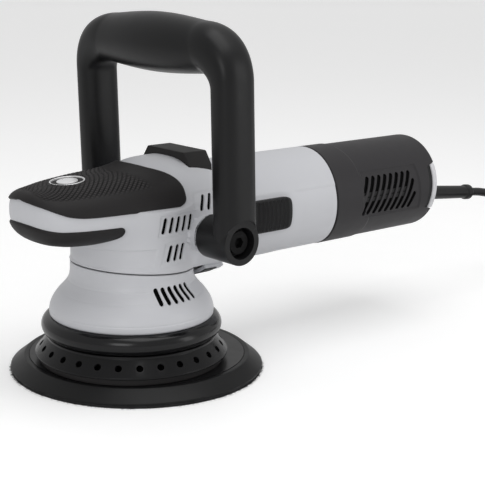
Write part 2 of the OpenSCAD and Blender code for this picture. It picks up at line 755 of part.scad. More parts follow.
module carbon_brushes() color("#3b3b3d") {
    both_sides() translate([brush_x, -commutator_r - 0.1, motor_z]) rotate([90, 0, 0])
        linear_extrude(height = 11) square([brush_len, brush_w], center = true);
}

// gears and spindle

// one straight groove between two bevel teeth, along the pitch line that leaves the apex
module tooth_groove() {
    rotate([90, 0, 90]) translate([0, 0, 14]) linear_extrude(height = 20)
        polygon([[-tooth_side, -tooth_down], [tooth_side, -tooth_down],
            [tooth_side + (tooth_down + 2) * flank, 2], [-tooth_side - (tooth_down + 2) * flank, 2]]);
}

module ring_gear() color("#8c8f92") {
    difference() {
        translate([0, 0, gear_apex_z]) rotate_extrude() polygon([
            [gear_seat_r, gear_back_z - gear_apex_z], [ring_gear_r, gear_back_z - gear_apex_z],
            [ring_gear_r, -ring_gear_r * cone_ratio + tooth_up],
            [ring_gear_in, -ring_gear_in * cone_ratio + tooth_up],
            [ring_gear_in - 1.5, -ring_gear_in * cone_ratio - tooth_down - 0.8],
            [gear_seat_r, -ring_gear_in * cone_ratio - tooth_down - 0.8]]);
        for (i = [0 : ring_teeth - 1]) translate([0, 0, gear_apex_z]) rotate(360 * i / ring_teeth)
            rotate([0, cone_angle, 0]) tooth_groove();
    }
}

module drive_pinion() color("#a2a5a8") {
    pinion_x0 = ring_gear_in - 0.8;
    pinion_x1 = ring_gear_r + 0.6;
    difference() {
        union() {
            translate([0, 0, motor_z]) rotate([0, 90, 0]) rotate_extrude()
                polygon([[shaft_r - 1, pinion_x0], [pinion_x0 * cone_ratio + tooth_up, pinion_x0],
                    [pinion_x1 * cone_ratio + tooth_up, pinion_x1], [shaft_r - 1, pinion_x1]]);
            on_shaft(pinion_x1) ring(7, shaft_r - 1, front_bearing_x - 2.2 - pinion_x1);
        }
        intersection() {
            for (i = [0 : pinion_teeth - 1]) translate([0, 0, motor_z])
                rotate([360 * (i + 0.5) / pinion_teeth, 0, 0]) rotate([0, cone_angle, 0])
                    mirror([0, 0, 1]) tooth_groove();
            on_shaft(pinion_x0 - 1) cylinder(r = 20, h = pinion_x1 - pinion_x0 + 1.01);
        }
    }
}

module main_spindle() color("#b9bcbf") {
    rotate_extrude() polygon([[0, carrier_mid_z + 1], [spindle_r, carrier_mid_z + 1],
        [spindle_r, gear_back_z], [gear_seat_r, gear_back_z], [gear_seat_r, gear_top_z], [stub_r, gear_top_z],
        [stub_r, top_bearing_z + top_bearing_h], [0, top_bearing_z + top_bearing_h]]);
}

weight_angle = 124;
module counterweight() color("#85888b") {
    difference() {
        union() {
            translate([0, 0, carrier_mid_z - 4])
                cylinder(r = spindle_r + 7, h = carrier_hub_z - carrier_mid_z + 4);
            translate([orbit[0], orbit[1], carrier_z0]) cylinder(r = pad_bearing_r + 3.5,
                h = pad_bearing_h + 3 * carrier_web);
            rotate(orbit_angle + 180 - weight_angle / 2) translate([0, 0, carrier_z0 + 3])
                rotate_extrude(angle = weight_angle) translate([4, 0])
                    square([weight_r - 4, weight_top_z - carrier_z0 - 3]);
        }
        translate([0, 0, carrier_mid_z + 1]) cylinder(r = spindle_r, h = 40);
        translate([orbit[0], orbit[1], carrier_z0 - 1]) cylinder(r = pad_bearing_r, h = pad_bearing_h + 1);
    }
}

module pad_bearing() color("#9a9da0")
    translate([orbit[0], orbit[1], carrier_z0]) bearing(pad_bearing_r, pad_spindle_r, pad_bearing_h);

module pad_spindle() color("#c4c6c8") {
    translate([orbit[0], orbit[1], plate_h]) difference() {
        union() {
            cylinder(r = 13, h = flange_h);
            cylinder(r = pad_spindle_r, h = carrier_z0 + pad_bearing_h - 0.8 - plate_h);
        }
        translate([0, 0, -1]) cylinder(r = m4_r * 2, h = 13);
    }
}

// plate pieces

module backing_plate() color("#202022") {
    translate(orbit) difference() {
        union() {
            translate([0, 0, hook_t + foam_t]) cylinder(r = pad_d / 2 - plate_bevel - 3, h = core_t);
            translate([0, 0, hook_t + 2.6]) cylinder(r = 12, h = foam_t + core_t - 2.6);
        }
        translate([0, 0, hook_t]) cylinder(r = m4_r * 2 + run_gap, h = 20);
    }
}

module plate_foam() color("#1b1b1d") {
    translate(orbit) difference() {
        rotate_extrude() polygon([[bolt_hole_r, hook_t], [pad_d / 2, hook_t], [pad_d / 2, hook_t + plate_rim],
            [pad_d / 2 - plate_bevel, plate_h], [bolt_hole_r, plate_h]]);
        translate([0, 0, hook_t + foam_t]) cylinder(r = pad_d / 2 - plate_bevel - 3, h = 20);
        translate([0, 0, hook_t + 2.6]) cylinder(r = 12, h = 20);
    }
}

module hook_face() color("#0f0f10") {
    translate(orbit) ring(pad_d / 2 - 0.4, bolt_hole_r, hook_t);
}

module centre_bolt() color("#6f7276") {
    translate([orbit[0], orbit[1], hook_t + 2.6]) socket_screw(m4_r * 2, 14, bolt_hole_r - 1, 2.4);
}

// handle

module handle_half() {
    rise_z = pivot[2] + handle_rise;
    leg_y = handle_span / 2;
    difference() {
        union() {
            translate([pivot[0], -leg_y, pivot[2]]) linear_extrude(height = handle_rise - elbow_r)
                round_plate(leg_half_x, leg_half_y, leg_corner_r);
            translate([pivot[0], -hub_face_y, pivot[2]]) rotate([-90, 0, 0])
                cylinder(r = hub_r + 0.6, h = hub_face_y - hub_in_y);
            translate([pivot[0], -leg_y + elbow_r, rise_z - elbow_r]) rotate([90, 0, -90])
                rotate_extrude(angle = 90) translate([elbow_r, 0]) rotate(90)
                    round_plate(leg_half_x, leg_half_y + 1.5, leg_corner_r);
            translate([pivot[0], 0, rise_z]) rotate([90, 0, 0]) rotate_extrude() polygon([[0, 0], [grip_r, 0],
                [grip_r - 0.3, leg_y * 0.18], [grip_r - 0.8, leg_y * 0.36], [grip_r - 1.7, leg_y * 0.52],
                [grip_r - 2.8, leg_y - elbow_r], [0, leg_y - elbow_r]]);
        }
        translate([pivot[0], -hub_face_y - 20, pivot[2]]) rotate([-90, 0, 0]) {
            cylinder(r = hub_r + 1.4, h = 20);
            cylinder(r = hub_bore_r, h = 60);
            cylinder(r = hub_pocket_r, h = 20 + hub_face_y - hub_pocket_y);
        }
    }
}

module d_handle() color("#1a1a1b") {
    translate(pivot) rotate([0, -handle_lean, 0]) translate(-pivot) both_sides() handle_half();
}

module handle_bolts() color("#2e2e30") {
    both_sides() translate([pivot[0], -hub_pocket_y - travel_gap, pivot[2]]) rotate([-90, 0, 0])
        socket_screw(bolt_r, hub_pocket_y + travel_gap - bolt_deep_y, bolt_head_r, bolt_head_h);
}

module friction_washers() color("#8f9295") {
    both_sides() translate([pivot[0], -boss_face_y - washer_t, pivot[2]]) rotate([-90, 0, 0])
        ring(hub_r, bolt_r + run_gap, washer_t);
}

// switch and dial

module switch_slider() color("#1a1a1b") {
    difference() {
        union() {
            intersection() {
                on_shaft(slider_x) ring(slider_out_y, slider_in_y, slider_len);
                translate([slider_x, -slider_out_y - 5, motor_z - slider_h / 2])
                    cube([slider_len, 20, slider_h]);
            }
            translate([peg_x, -slider_in_y - 1, motor_z - rod_half_z])
                cube([peg_len, slider_in_y + 1 - rod_out_y, 2 * rod_half_z]);
        }
        for (i = [0 : 8]) translate([slider_x + 4 + 3 * i, -slider_out_y - 3.9, motor_z - slider_h])
            cube([1.2, 5, 2 * slider_h]);
    }
}

module switch_rod() color("#3a3a3c") {
    translate([rod_x0, -rod_out_y, motor_z - rod_half_z]) cube([rod_x1 - rod_x0, rod_out_y - rod_in_y,
        2 * rod_half_z]);
    translate([rod_x1 - hook_w, -rod_in_y - eps, motor_z - rod_half_z]) cube([hook_w, 4, 2 * rod_half_z]);
}

module switch_body() color("#2a2a2c") {
    translate([switch_x, -motor_in_r + 5, motor_z - 2]) cube([14, 14, 16]);
    translate([switch_x - 2, -motor_in_r + 6, motor_z + 3]) cube([2 + eps, 3, 4]);
}

module speed_dial() color("#2e2e30") {
    translate([dial_x, dial_y, motor_z - dial_t / 2]) difference() {
        cylinder(r = dial_r, h = dial_t);
        translate([0, 0, -1]) cylinder(r = 2 + run_gap, h = dial_t + 2);
        for (i = [0 : 23]) rotate(15 * i) translate([dial_r + 0.4, 0, -1]) cylinder(r = 0.9, h = dial_t + 2);
    }
}

// the board lies low in the cover, and a bracket on it holds the dial's turning part
module control_board() color("#2f6b45") {
    board_z = motor_z - 21;
    board_t = 1.6;
    turner_h = 6;
    turner_top = motor_z - dial_t / 2 - travel_gap;
    translate([sleeve_x1 + 8, -16, board_z]) cube([24, 34, board_t]);
    translate([sleeve_x1 + 11, -12, board_z + board_t - eps]) cube([14, 12, 6]);
    translate([dial_x - 3, dial_y - 10, board_z + board_t - eps])
        cube([6, 5, turner_top - turner_h / 2 - board_z]);
    translate([dial_x - 3, dial_y - 10, turner_top - turner_h]) cube([6, 10, turner_h]);
    translate([dial_x, dial_y, turner_top - turner_h]) cylinder(r = 3, h = turner_h);
    translate([dial_x, dial_y, turner_top - eps]) cylinder(r = 2, h = dial_t + travel_gap);
}

// cord pieces

module relief_place() {
    translate(relief_root) rotate([0, 90 + relief_tilt, 0]) children();
}

module strain_relief() color("#1d1d1f") {
    relief_place() difference() {
        rotate_extrude() polygon([[0, -relief_in], [relief_r + 2, -relief_in],
            [relief_r + 2, -relief_in + 3.5], [relief_r, -relief_in + 3.5], [relief_r, 4],
            [5.4, relief_run * 0.45], [4.8, relief_run - 6],
            [5.6, relief_run - 5], [5.6, relief_run - 1], [4.6, relief_run], [0, relief_run]]);
        translate([0, 0, -relief_in - 1]) cylinder(r = cord_d / 2, h = relief_run + relief_in + 2);
    }
}

module cord_clamp() color("#3a3a3c") {
    half_w = 10;
    relief_place() translate([-9, -half_w, -relief_in - 10]) difference() {
        cube([4, 2 * half_w, 7]);
        for (y = [-6.5, 6.5]) translate([-1, half_w + y, 3.5]) rotate([0, 90, 0]) cylinder(r = m3_r, h = 8);
    }
}

module cord_lead() color("#19191a") cord_tube(lead_route);

module cord_coil() color("#19191a") {
    inner = coil_in_turn_r - cord_d / 2;
    outer = coil_out_turn_r + cord_d / 2;
    height = coil_layers * cord_d;
    soft = cord_d / 3;
    translate([coil_at[0], coil_at[1], 0]) rotate_extrude() polygon([[inner + soft, 0], [outer - soft, 0],
        [outer, soft], [outer, height - soft], [outer - soft, height], [inner + soft, height],
        [inner, height - soft], [inner, soft]]);
}

module cord_tail() color("#19191a") cord_tube(tail_route);

module plug_body() color("#19191a") {
    translate(plug_at) rotate([0, -90, 0]) {
        rotate_extrude() polygon([[0, 0], [5, 0], [8.2, plug_grip], [0, plug_grip]]);
        translate([0, 0, plug_grip - eps]) linear_extrude(height = plug_len)
            round_plate(plug_half_t, plug_half_w, plug_half_t - 0.5);
    }
}

module plug_pins() color("#c9cbcd") {
    for (s = [-1, 1]) translate([plug_at[0] - plug_grip - plug_len, plug_at[1] + s * pin_gap / 2, plug_at[2]])
        rotate([0, -90, 0]) cylinder(r = pin_r, h = pin_len);
}

head_housing();
head_skirt();
bumper_ring();
exhaust_ring();
drag_skirt();
nose_grip();
nose_badge();
nose_strip();
rest_pad();
motor_housing();
rear_cover();
rear_cap();
gear_case();
bearing_plate();
case_screws();
ring_screws();
motor_screws();
cover_screws();
front_bearing();
rear_bearing();
spindle_top_bearing();
spindle_low_bearing();
field_core();
field_coils();
brush_holders();
carbon_brushes();
switch_body();
control_board();
strain_relief();
cord_clamp();
handle_bolts();
friction_washers();
cord_lead();
cord_coil();
cord_tail();
plug_body();
plug_pins();
d_handle();
switch_slider();
switch_rod();
speed_dial();
armature_shaft();
armature_core();
armature_windings();
commutator();
cooling_fan();
drive_pinion();
main_spindle();
ring_gear();
counterweight();
pad_bearing();
pad_spindle();
backing_plate();
plate_foam();
hook_face();
centre_bolt();
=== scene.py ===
import bpy
import bmesh
import numpy as np
from math import cos, pi, radians, sin, tau
from mathutils import Matrix, Vector
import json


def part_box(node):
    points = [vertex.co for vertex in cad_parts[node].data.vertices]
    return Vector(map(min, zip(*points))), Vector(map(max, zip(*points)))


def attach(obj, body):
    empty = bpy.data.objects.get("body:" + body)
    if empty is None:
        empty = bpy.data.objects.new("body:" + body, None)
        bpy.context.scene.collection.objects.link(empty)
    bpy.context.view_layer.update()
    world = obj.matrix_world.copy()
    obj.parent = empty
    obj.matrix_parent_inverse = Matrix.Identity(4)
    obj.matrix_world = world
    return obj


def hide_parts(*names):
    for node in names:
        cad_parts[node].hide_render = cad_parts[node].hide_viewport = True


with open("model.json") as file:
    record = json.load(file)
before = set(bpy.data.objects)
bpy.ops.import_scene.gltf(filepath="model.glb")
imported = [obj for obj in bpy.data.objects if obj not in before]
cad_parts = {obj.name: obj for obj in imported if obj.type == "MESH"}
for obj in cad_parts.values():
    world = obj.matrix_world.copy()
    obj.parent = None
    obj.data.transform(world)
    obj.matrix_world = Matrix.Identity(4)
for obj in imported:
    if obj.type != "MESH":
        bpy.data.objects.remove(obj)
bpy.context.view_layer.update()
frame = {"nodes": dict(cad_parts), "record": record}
mm = 0.001
print("frame loaded:", len(frame["nodes"]), "parts")


# camera and studio
studio = {
    "cameraAzimuth": -41.96, "cameraElevation": 13.78, "cameraRoll": 1.08,
    "cameraDistance": 0.7937, "lens": 91.58, "aim": (0.08656, 0.0, 0.0613),
    "floorColour": (0.9, 0.9, 0.9), "worldStrength": 0.6, "floorGlow": 0.22,
    # name, place, aim, width, power, height
    "lights": [("topLight", (0.1, -0.2, 1.1), (0.08, 0, 0.08), 0.9, 4.5, 0.9),
               ("frontLight", (-0.9, -0.75, 0.55), (0.05, 0, 0.09), 0.5, 2.2, 0.5),
               ("sideLight", (0.75, -1.0, 0.35), (0.12, 0, 0.09), 0.35, 1.6, 0.8)],
}


def placeCamera():
    az, el, roll = (radians(studio[k]) for k in ("cameraAzimuth", "cameraElevation", "cameraRoll"))
    back = Vector((sin(az) * cos(el), -cos(az) * cos(el), sin(el)))
    data = bpy.data.cameras.new("camera")
    data.lens = studio["lens"]
    data.sensor_width = 36
    data.clip_start, data.clip_end = 0.01, 30
    camera = bpy.data.objects.new("camera", data)
    bpy.context.scene.collection.objects.link(camera)
    camera.location = Vector(studio["aim"]) + back * studio["cameraDistance"]
    camera.rotation_mode = "QUATERNION"
    level = (-back).to_track_quat("-Z", "Y")
    camera.rotation_quaternion = level @ Matrix.Rotation(roll, 3, "Z").to_quaternion()
    bpy.context.scene.camera = camera


def placeFloor():
    bpy.ops.mesh.primitive_plane_add(size=12, location=(0, 0, 0))
    floor = bpy.context.object
    floor.name = "floor"
    material = bpy.data.materials.new("paleFloor")
    material.use_nodes = True
    shader = material.node_tree.nodes["Principled BSDF"]
    shader.inputs["Base Color"].default_value = (*studio["floorColour"], 1)
    shader.inputs["Roughness"].default_value = 0.55
    shader.inputs["Specular IOR Level"].default_value = 0.25
    seen = material.node_tree.nodes.new("ShaderNodeLightPath")
    glow = material.node_tree.nodes.new("ShaderNodeMath")
    glow.operation = "MULTIPLY"
    glow.inputs[1].default_value = studio["floorGlow"]
    shader.inputs["Emission Color"].default_value = (1, 1, 1, 1)
    material.node_tree.links.new(seen.outputs["Is Camera Ray"], glow.inputs[0])
    material.node_tree.links.new(glow.outputs[0], shader.inputs["Emission Strength"])
    floor.data.materials.append(material)


def placeLight(name, at, towards, width, power, height):
    data = bpy.data.lights.new(name, "AREA")
    data.energy = power
    data.shape = "RECTANGLE"
    data.size, data.size_y = width, height
    lamp = bpy.data.objects.new(name, data)
    lamp.location = at
    lamp.rotation_mode = "QUATERNION"
    lamp.rotation_quaternion = (Vector(towards) - Vector(at)).to_track_quat("-Z", "Y")
    bpy.context.scene.collection.objects.link(lamp)


placeCamera()
placeFloor()
world = bpy.data.worlds.new("studio")
world.use_nodes = True
world.node_tree.nodes["Background"].inputs[0].default_value = (1, 1, 1, 1)
world.node_tree.nodes["Background"].inputs[1].default_value = studio["worldStrength"]
bpy.context.scene.world = world
for light in studio["lights"]:
    placeLight(*light)
bpy.context.scene.view_settings.view_transform = "Standard"
print("camera and studio placed")


# finishes
def newGroup(name, inputs, outputs):
    # A shader node group with named number or colour inputs and outputs.
    group = bpy.data.node_groups.new(name, "ShaderNodeTree")
    kinds = {"value": "NodeSocketFloat", "colour": "NodeSocketColor"}
    for label, kind, default in inputs:
        socket = group.interface.new_socket(label, in_out="INPUT", socket_type=kinds[kind])
        socket.default_value = default
    for label, kind in outputs:
        group.interface.new_socket(label, in_out="OUTPUT", socket_type=kinds[kind])
    return group, group.nodes.new("NodeGroupInput"), group.nodes.new("NodeGroupOutput")


def addMath(tree, operation, first, second=None, third=None):
    node = tree.nodes.new("ShaderNodeMath")
    node.operation = operation
    for socket, value in zip(node.inputs, (first, second, third)):
        if value is None:
            continue
        if isinstance(value, (int, float)):
            socket.default_value = value
        else:
            tree.links.new(value, socket)
    return node.outputs[0]


def addNoise(tree, vector, scale, detail=3.0, roughness=0.5):
    node = tree.nodes.new("ShaderNodeTexNoise")
    node.inputs["Scale"].default_value = scale
    node.inputs["Detail"].default_value = detail
    node.inputs["Roughness"].default_value = roughness
    tree.links.new(vector, node.inputs["Vector"])
    return node.outputs["Fac"]


def buildMouldedGroup():
    # Moulded plastic: fine grain for the height, and slow and fine patches for tint and gloss.
    group, given, out = newGroup(
        "mouldedSurface",
        [("Colour", "colour", (0.5, 0.5, 0.5, 1)), ("Roughness", "value", 0.45), ("Grain", "value", 1.0),
         ("Grain Scale", "value", 2600.0), ("Tint", "value", 0.06), ("Wear", "value", 0.1)],
        [("Colour", "colour"), ("Roughness", "value"), ("Height", "value")])
    links = group.links
    place = group.nodes.new("ShaderNodeTexCoord").outputs["Object"]
    slow = addNoise(group, place, 22, 4)
    patches = addNoise(group, place, 160, 3)
    grain = group.nodes.new("ShaderNodeTexNoise")
    grain.inputs["Detail"].default_value = 2
    links.new(place, grain.inputs["Vector"])
    links.new(given.outputs["Grain Scale"], grain.inputs["Scale"])
    shade = addMath(group, "ADD", addMath(group, "MULTIPLY", slow, 0.7),
                    addMath(group, "MULTIPLY", patches, 0.3))
    centred = addMath(group, "MULTIPLY", addMath(group, "SUBTRACT", shade, 0.5), given.outputs["Tint"])
    bright = group.nodes.new("ShaderNodeHueSaturation")
    links.new(addMath(group, "ADD", centred, 1.0), bright.inputs["Value"])
    links.new(given.outputs["Colour"], bright.inputs["Color"])
    links.new(bright.outputs[0], out.inputs["Colour"])
    rubbed = addMath(group, "MULTIPLY", addMath(group, "SUBTRACT", patches, 0.5), given.outputs["Wear"])
    streaks = addMath(group, "MULTIPLY", addMath(group, "SUBTRACT", slow, 0.5), given.outputs["Wear"])
    total = addMath(group, "ADD", given.outputs["Roughness"], addMath(group, "ADD", rubbed, streaks))
    links.new(addMath(group, "MAXIMUM", total, 0.04), out.inputs["Roughness"])
    links.new(addMath(group, "MULTIPLY", grain.outputs["Fac"], given.outputs["Grain"]),
              out.inputs["Height"])
    return group


def buildBrushedGroup():
    # Machined metal: fine lines along X, as height and as gloss.
    group, given, out = newGroup(
        "machinedSurface",
        [("Colour", "colour", (0.6, 0.6, 0.6, 1)), ("Roughness", "value", 0.3),
         ("Line Scale", "value", 900.0), ("Stain", "value", 0.1)],
        [("Colour", "colour"), ("Roughness", "value"), ("Height", "value")])
    links = group.links
    place = group.nodes.new("ShaderNodeTexCoord").outputs["Object"]
    stretch = group.nodes.new("ShaderNodeMapping")
    stretch.inputs["Scale"].default_value = (0.04, 1, 1)
    links.new(place, stretch.inputs["Vector"])
    lines = group.nodes.new("ShaderNodeTexNoise")
    lines.inputs["Detail"].default_value = 3
    links.new(stretch.outputs[0], lines.inputs["Vector"])
    links.new(given.outputs["Line Scale"], lines.inputs["Scale"])
    stain = addNoise(group, place, 70, 4)
    bright = group.nodes.new("ShaderNodeHueSaturation")
    change = addMath(group, "MULTIPLY", addMath(group, "SUBTRACT", stain, 0.5), given.outputs["Stain"])
    links.new(addMath(group, "ADD", change, 1.0), bright.inputs["Value"])
    links.new(given.outputs["Colour"], bright.inputs["Color"])
    links.new(bright.outputs[0], out.inputs["Colour"])
    gloss = addMath(group, "MULTIPLY", addMath(group, "SUBTRACT", lines.outputs["Fac"], 0.5), 0.25)
    links.new(addMath(group, "MAXIMUM", addMath(group, "ADD", given.outputs["Roughness"], gloss), 0.05),
              out.inputs["Roughness"])
    links.new(lines.outputs["Fac"], out.inputs["Height"])
    return group


mouldedSurface = buildMouldedGroup()
machinedSurface = buildBrushedGroup()


def newMaterial(name, group, values, bump=0.1, bumpDistance=0.0001, **sockets):
    # One finish: a group feeds colour, roughness and bump, and plain numbers sit on the shader.
    material = bpy.data.materials.new(name)
    material.use_nodes = True
    tree = material.node_tree
    shader = tree.nodes["Principled BSDF"]
    effect = tree.nodes.new("ShaderNodeGroup")
    effect.node_tree = group
    for label, value in values.items():
        effect.inputs[label].default_value = (*value, 1) if isinstance(value, tuple) else value
    for label, value in sockets.items():
        shader.inputs[label.replace("_", " ")].default_value = value
    relief = tree.nodes.new("ShaderNodeBump")
    relief.inputs["Strength"].default_value = bump
    relief.inputs["Distance"].default_value = bumpDistance
    tree.links.new(effect.outputs["Colour"], shader.inputs["Base Color"])
    tree.links.new(effect.outputs["Roughness"], shader.inputs["Roughness"])
    tree.links.new(effect.outputs["Height"], relief.inputs["Height"])
    tree.links.new(relief.outputs["Normal"], shader.inputs["Normal"])
    return material


def moulded(name, colour, roughness, grain=1.0, scale=2600.0, tint=0.06, wear=0.1, bump=0.1, **sockets):
    return newMaterial(name, mouldedSurface, {"Colour": colour, "Roughness": roughness, "Grain": grain,
                       "Grain Scale": scale, "Tint": tint, "Wear": wear}, bump, **sockets)


def machined(name, colour, roughness, scale=900.0, stain=0.15, bump=0.08, **sockets):
    return newMaterial(name, machinedSurface,
                       {"Colour": colour, "Roughness": roughness, "Line Scale": scale, "Stain": stain},
                       bump, Metallic=1.0, **sockets)


finishes = {
    "housing_grey": moulded("satinGreyPlastic", (0.545, 0.55, 0.575), 0.40, bump=0.06, tint=0.03,
                            Specular_IOR_Level=0.45),
    "cover_charcoal": moulded("charcoalPlastic", (0.027, 0.0255, 0.0275), 0.5, scale=1900.0,
                              bump=0.16, tint=0.1, Specular_IOR_Level=0.25),
    "handle_black": moulded("satinBlackMoulding", (0.0075, 0.0075, 0.008), 0.34, scale=2200.0,
                            bump=0.10, tint=0.12, Specular_IOR_Level=0.24),
    "grip_rubber": moulded("softGripRubber", (0.0145, 0.0133, 0.0137), 0.56, scale=1500.0,
                           bump=0.18, tint=0.12, Specular_IOR_Level=0.22),
    "bumper_rubber": moulded("glossyBumperRubber", (0.0045, 0.0045, 0.005), 0.2, scale=900.0,
                             bump=0.02, wear=0.06, Specular_IOR_Level=0.34),
    "ring_black": moulded("glossyRingPlastic", (0.0045, 0.0045, 0.005), 0.24, scale=1100.0,
                          bump=0.03, wear=0.08, Specular_IOR_Level=0.22),
    "badge_silver": moulded("badgeSilver", (0.82, 0.82, 0.83), 0.3, scale=2200.0, tint=0.03, bump=0.03,
                            Metallic=0.4),
    "cap_silver": moulded("silverCapPlastic", (0.60, 0.60, 0.62), 0.38, bump=0.05, tint=0.03),
    "cast_aluminium": moulded("castAluminium", (0.50, 0.51, 0.52), 0.48, scale=900.0, bump=0.25, wear=0.2,
                              Metallic=1.0),
    "steel": machined("groundSteel", (0.60, 0.61, 0.62), 0.24),
    "gear_steel": machined("gearSteel", (0.36, 0.37, 0.38), 0.34, stain=0.3),
    "screw_steel": machined("platedScrewSteel", (0.42, 0.42, 0.43), 0.32),
    # Black screws, darkened further as painted shade for their deep pockets in the handle's hubs.
    "black_screws": moulded("blackSteelPaintedShade", (0.004, 0.004, 0.0042), 0.55, tint=0.2,
                            Specular_IOR_Level=0.12),
    "laminations": machined("varnishedLaminations", (0.22, 0.19, 0.16), 0.45, scale=3000.0,
                            stain=0.35, bump=0.3),
    "copper": machined("enamelledCopper", (0.62, 0.27, 0.11), 0.3, scale=2600.0, stain=0.3, bump=0.35),
    "brass": machined("drawnBrass", (0.66, 0.48, 0.22), 0.3),
    "carbon": moulded("brushCarbon", (0.03, 0.03, 0.03), 0.6, scale=1300.0, bump=0.2),
    "inner_black": moulded("blackNylon", (0.009, 0.009, 0.0095), 0.45, scale=1800.0, bump=0.12,
                           Specular_IOR_Level=0.25),
    "board_green": moulded("boardGreen", (0.02, 0.10, 0.045), 0.35, scale=700.0, bump=0.1, tint=0.2),
    "plate_core": moulded("plateCorePlastic", (0.006, 0.006, 0.0065), 0.32, scale=1500.0, bump=0.06,
                          Specular_IOR_Level=0.25),
    "plate_foam": moulded("skinnedPlateFoam", (0.007, 0.007, 0.0074), 0.4, scale=1400.0,
                          bump=0.14, tint=0.15, Specular_IOR_Level=0.2),
    "hook_fabric": moulded("hookTape", (0.012, 0.012, 0.013), 0.85, scale=1200.0, bump=0.9, tint=0.3),
    "cord_black": moulded("cableSheath", (0.008, 0.008, 0.0085), 0.38, scale=1500.0, bump=0.06,
                          Specular_IOR_Level=0.28),
    "plug_black": moulded("plugMoulding", (0.010, 0.010, 0.0105), 0.42, scale=1600.0, bump=0.12,
                          Specular_IOR_Level=0.28),
    "pin_nickel": machined("nickelPins", (0.74, 0.72, 0.68), 0.2, stain=0.08),
}
slotOf = {row["node"]: row["material_slot"] for row in frame["record"]["subparts"]}
for node, part in frame["nodes"].items():
    part.data.materials.clear()
    part.data.materials.append(finishes[slotOf[node]])
print("finishes made:", len(finishes))


# mesh helpers, all in millimetres
def gridFaces(rows, cols, closeRows=False, closeCols=False, start=0):
    # Quads over a rows by cols grid of points, optionally joined round either way.
    r = np.arange(rows if closeRows else rows - 1)[:, None]
    c = np.arange(cols if closeCols else cols - 1)[None, :]
    r2, c2 = (r + 1) % rows, (c + 1) % cols
    quads = np.stack([r * cols + c, r * cols + c2, r2 * cols + c2, r2 * cols + c], -1)
    return quads.reshape(-1, 4) + start


def makePiece(name, parts, slot, body, sharp=32, merge=1e-4, replaces=(), shadeLightMask=None):
    # parts is a list of (points, faces) in millimetres: one object at the origin, outward faces, smooth
    # shading except where faces meet at more than sharp degrees.
    mesh = bpy.data.meshes.new(name)
    points, faces, offset = [], [], 0
    for p, f in parts:
        p = np.asarray(p, float).reshape(-1, 3)
        points.append(p)
        faces += [[i + offset for i in q] for q in f] if isinstance(f, list) else (f + offset).tolist()
        offset += len(p)
    mesh.from_pydata((np.concatenate(points) * mm).tolist(), [], faces)
    if shadeLightMask is not None:
        mesh.attributes.new("groove", "FLOAT", "POINT").data.foreach_set("value", shadeLightMask.astype(np.float32))
    tidy = bmesh.new()
    tidy.from_mesh(mesh)
    bmesh.ops.remove_doubles(tidy, verts=tidy.verts, dist=merge * mm)
    bmesh.ops.dissolve_degenerate(tidy, edges=tidy.edges, dist=merge * mm)
    bmesh.ops.recalc_face_normals(tidy, faces=tidy.faces)
    tidy.to_mesh(mesh)
    tidy.free()
    piece = bpy.data.objects.new(name, mesh)
    bpy.context.scene.collection.objects.link(piece)
    smoothed(piece, sharp)
    mesh.materials.append(finishes[slot])
    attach(piece, body)
    if replaces:
        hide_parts(*replaces)
    return piece


def smoothed(piece, sharp):
    mesh = piece.data
    mesh.polygons.foreach_set("use_smooth", np.ones(len(mesh.polygons), bool))
    mesh.set_sharp_from_angle(angle=radians(sharp))
    mesh.update()


def bareObject(name, parts):
    # A closed mesh that is only used to cut or join another piece.
    mesh = bpy.data.meshes.new(name)
    points, faces, offset = [], [], 0
    for p, f in parts:
        points.append(np.asarray(p, float).reshape(-1, 3))
        faces += [[int(i) + offset for i in q] for q in f]
        offset += len(points[-1])
    mesh.from_pydata((np.concatenate(points) * mm).tolist(), [], faces)
    tidy = bmesh.new()
    tidy.from_mesh(mesh)
    bmesh.ops.recalc_face_normals(tidy, faces=tidy.faces)
    tidy.to_mesh(mesh)
    tidy.free()
    tool = bpy.data.objects.new(name, mesh)
    bpy.context.scene.collection.objects.link(tool)
    return tool


def combine(piece, tool, operation="DIFFERENCE", sharp=32):
    # Cuts the tool out of the piece, or joins it on, and throws the tool away.
    step = piece.modifiers.new("combine", "BOOLEAN")
    step.operation = operation
    step.solver = "EXACT"
    step.object = tool
    bpy.context.view_layer.update()
    result = bpy.data.meshes.new_from_object(piece.evaluated_get(bpy.context.evaluated_depsgraph_get()))
    piece.modifiers.clear()
    old = piece.data
    result.name = old.name
    piece.data = result
    bpy.data.meshes.remove(old)
    bpy.data.objects.remove(tool)
    tidy = bmesh.new()
    tidy.from_mesh(result)
    bmesh.ops.remove_doubles(tidy, verts=tidy.verts, dist=1e-6)
    bmesh.ops.dissolve_degenerate(tidy, edges=tidy.edges, dist=1e-6)
    tidy.to_mesh(result)
    tidy.free()
    smoothed(piece, sharp)
    print("cut:", piece.name, len(result.polygons), "faces")
    return piece


def rounded(outline, steps=5):
    # A polygon with its corners turned into arcs. Each point is (a, b, radius).
    pts = np.array([p[:2] for p in outline], float)
    out = []
    for i, (_, _, r) in enumerate(outline):
        here, before, after = pts[i], pts[i - 1], pts[(i + 1) % len(pts)]
        u, v = before - here, after - here
        lu, lv = np.hypot(*u), np.hypot(*v)
        turn = np.arccos(np.clip(u @ v / (lu * lv), -1, 1))
        if r < 1e-6 or abs(pi - turn) < 1e-3:
            out.append(here[None])
            continue
        back = min(r / np.tan(turn / 2), lu * 0.49, lv * 0.49)
        r = back * np.tan(turn / 2)
        middle = here + (u / lu + v / lv) / np.hypot(*(u / lu + v / lv)) * r / np.sin(turn / 2)
        a0 = np.arctan2(*(here + u / lu * back - middle)[::-1])
        a1 = np.arctan2(*(here + v / lv * back - middle)[::-1])
        sweep = (a1 - a0 + pi) % tau - pi
        a = a0 + sweep * np.linspace(0, 1, steps + 1)
        out.append(middle + r * np.stack([np.cos(a), np.sin(a)], -1))
    return np.concatenate(out)


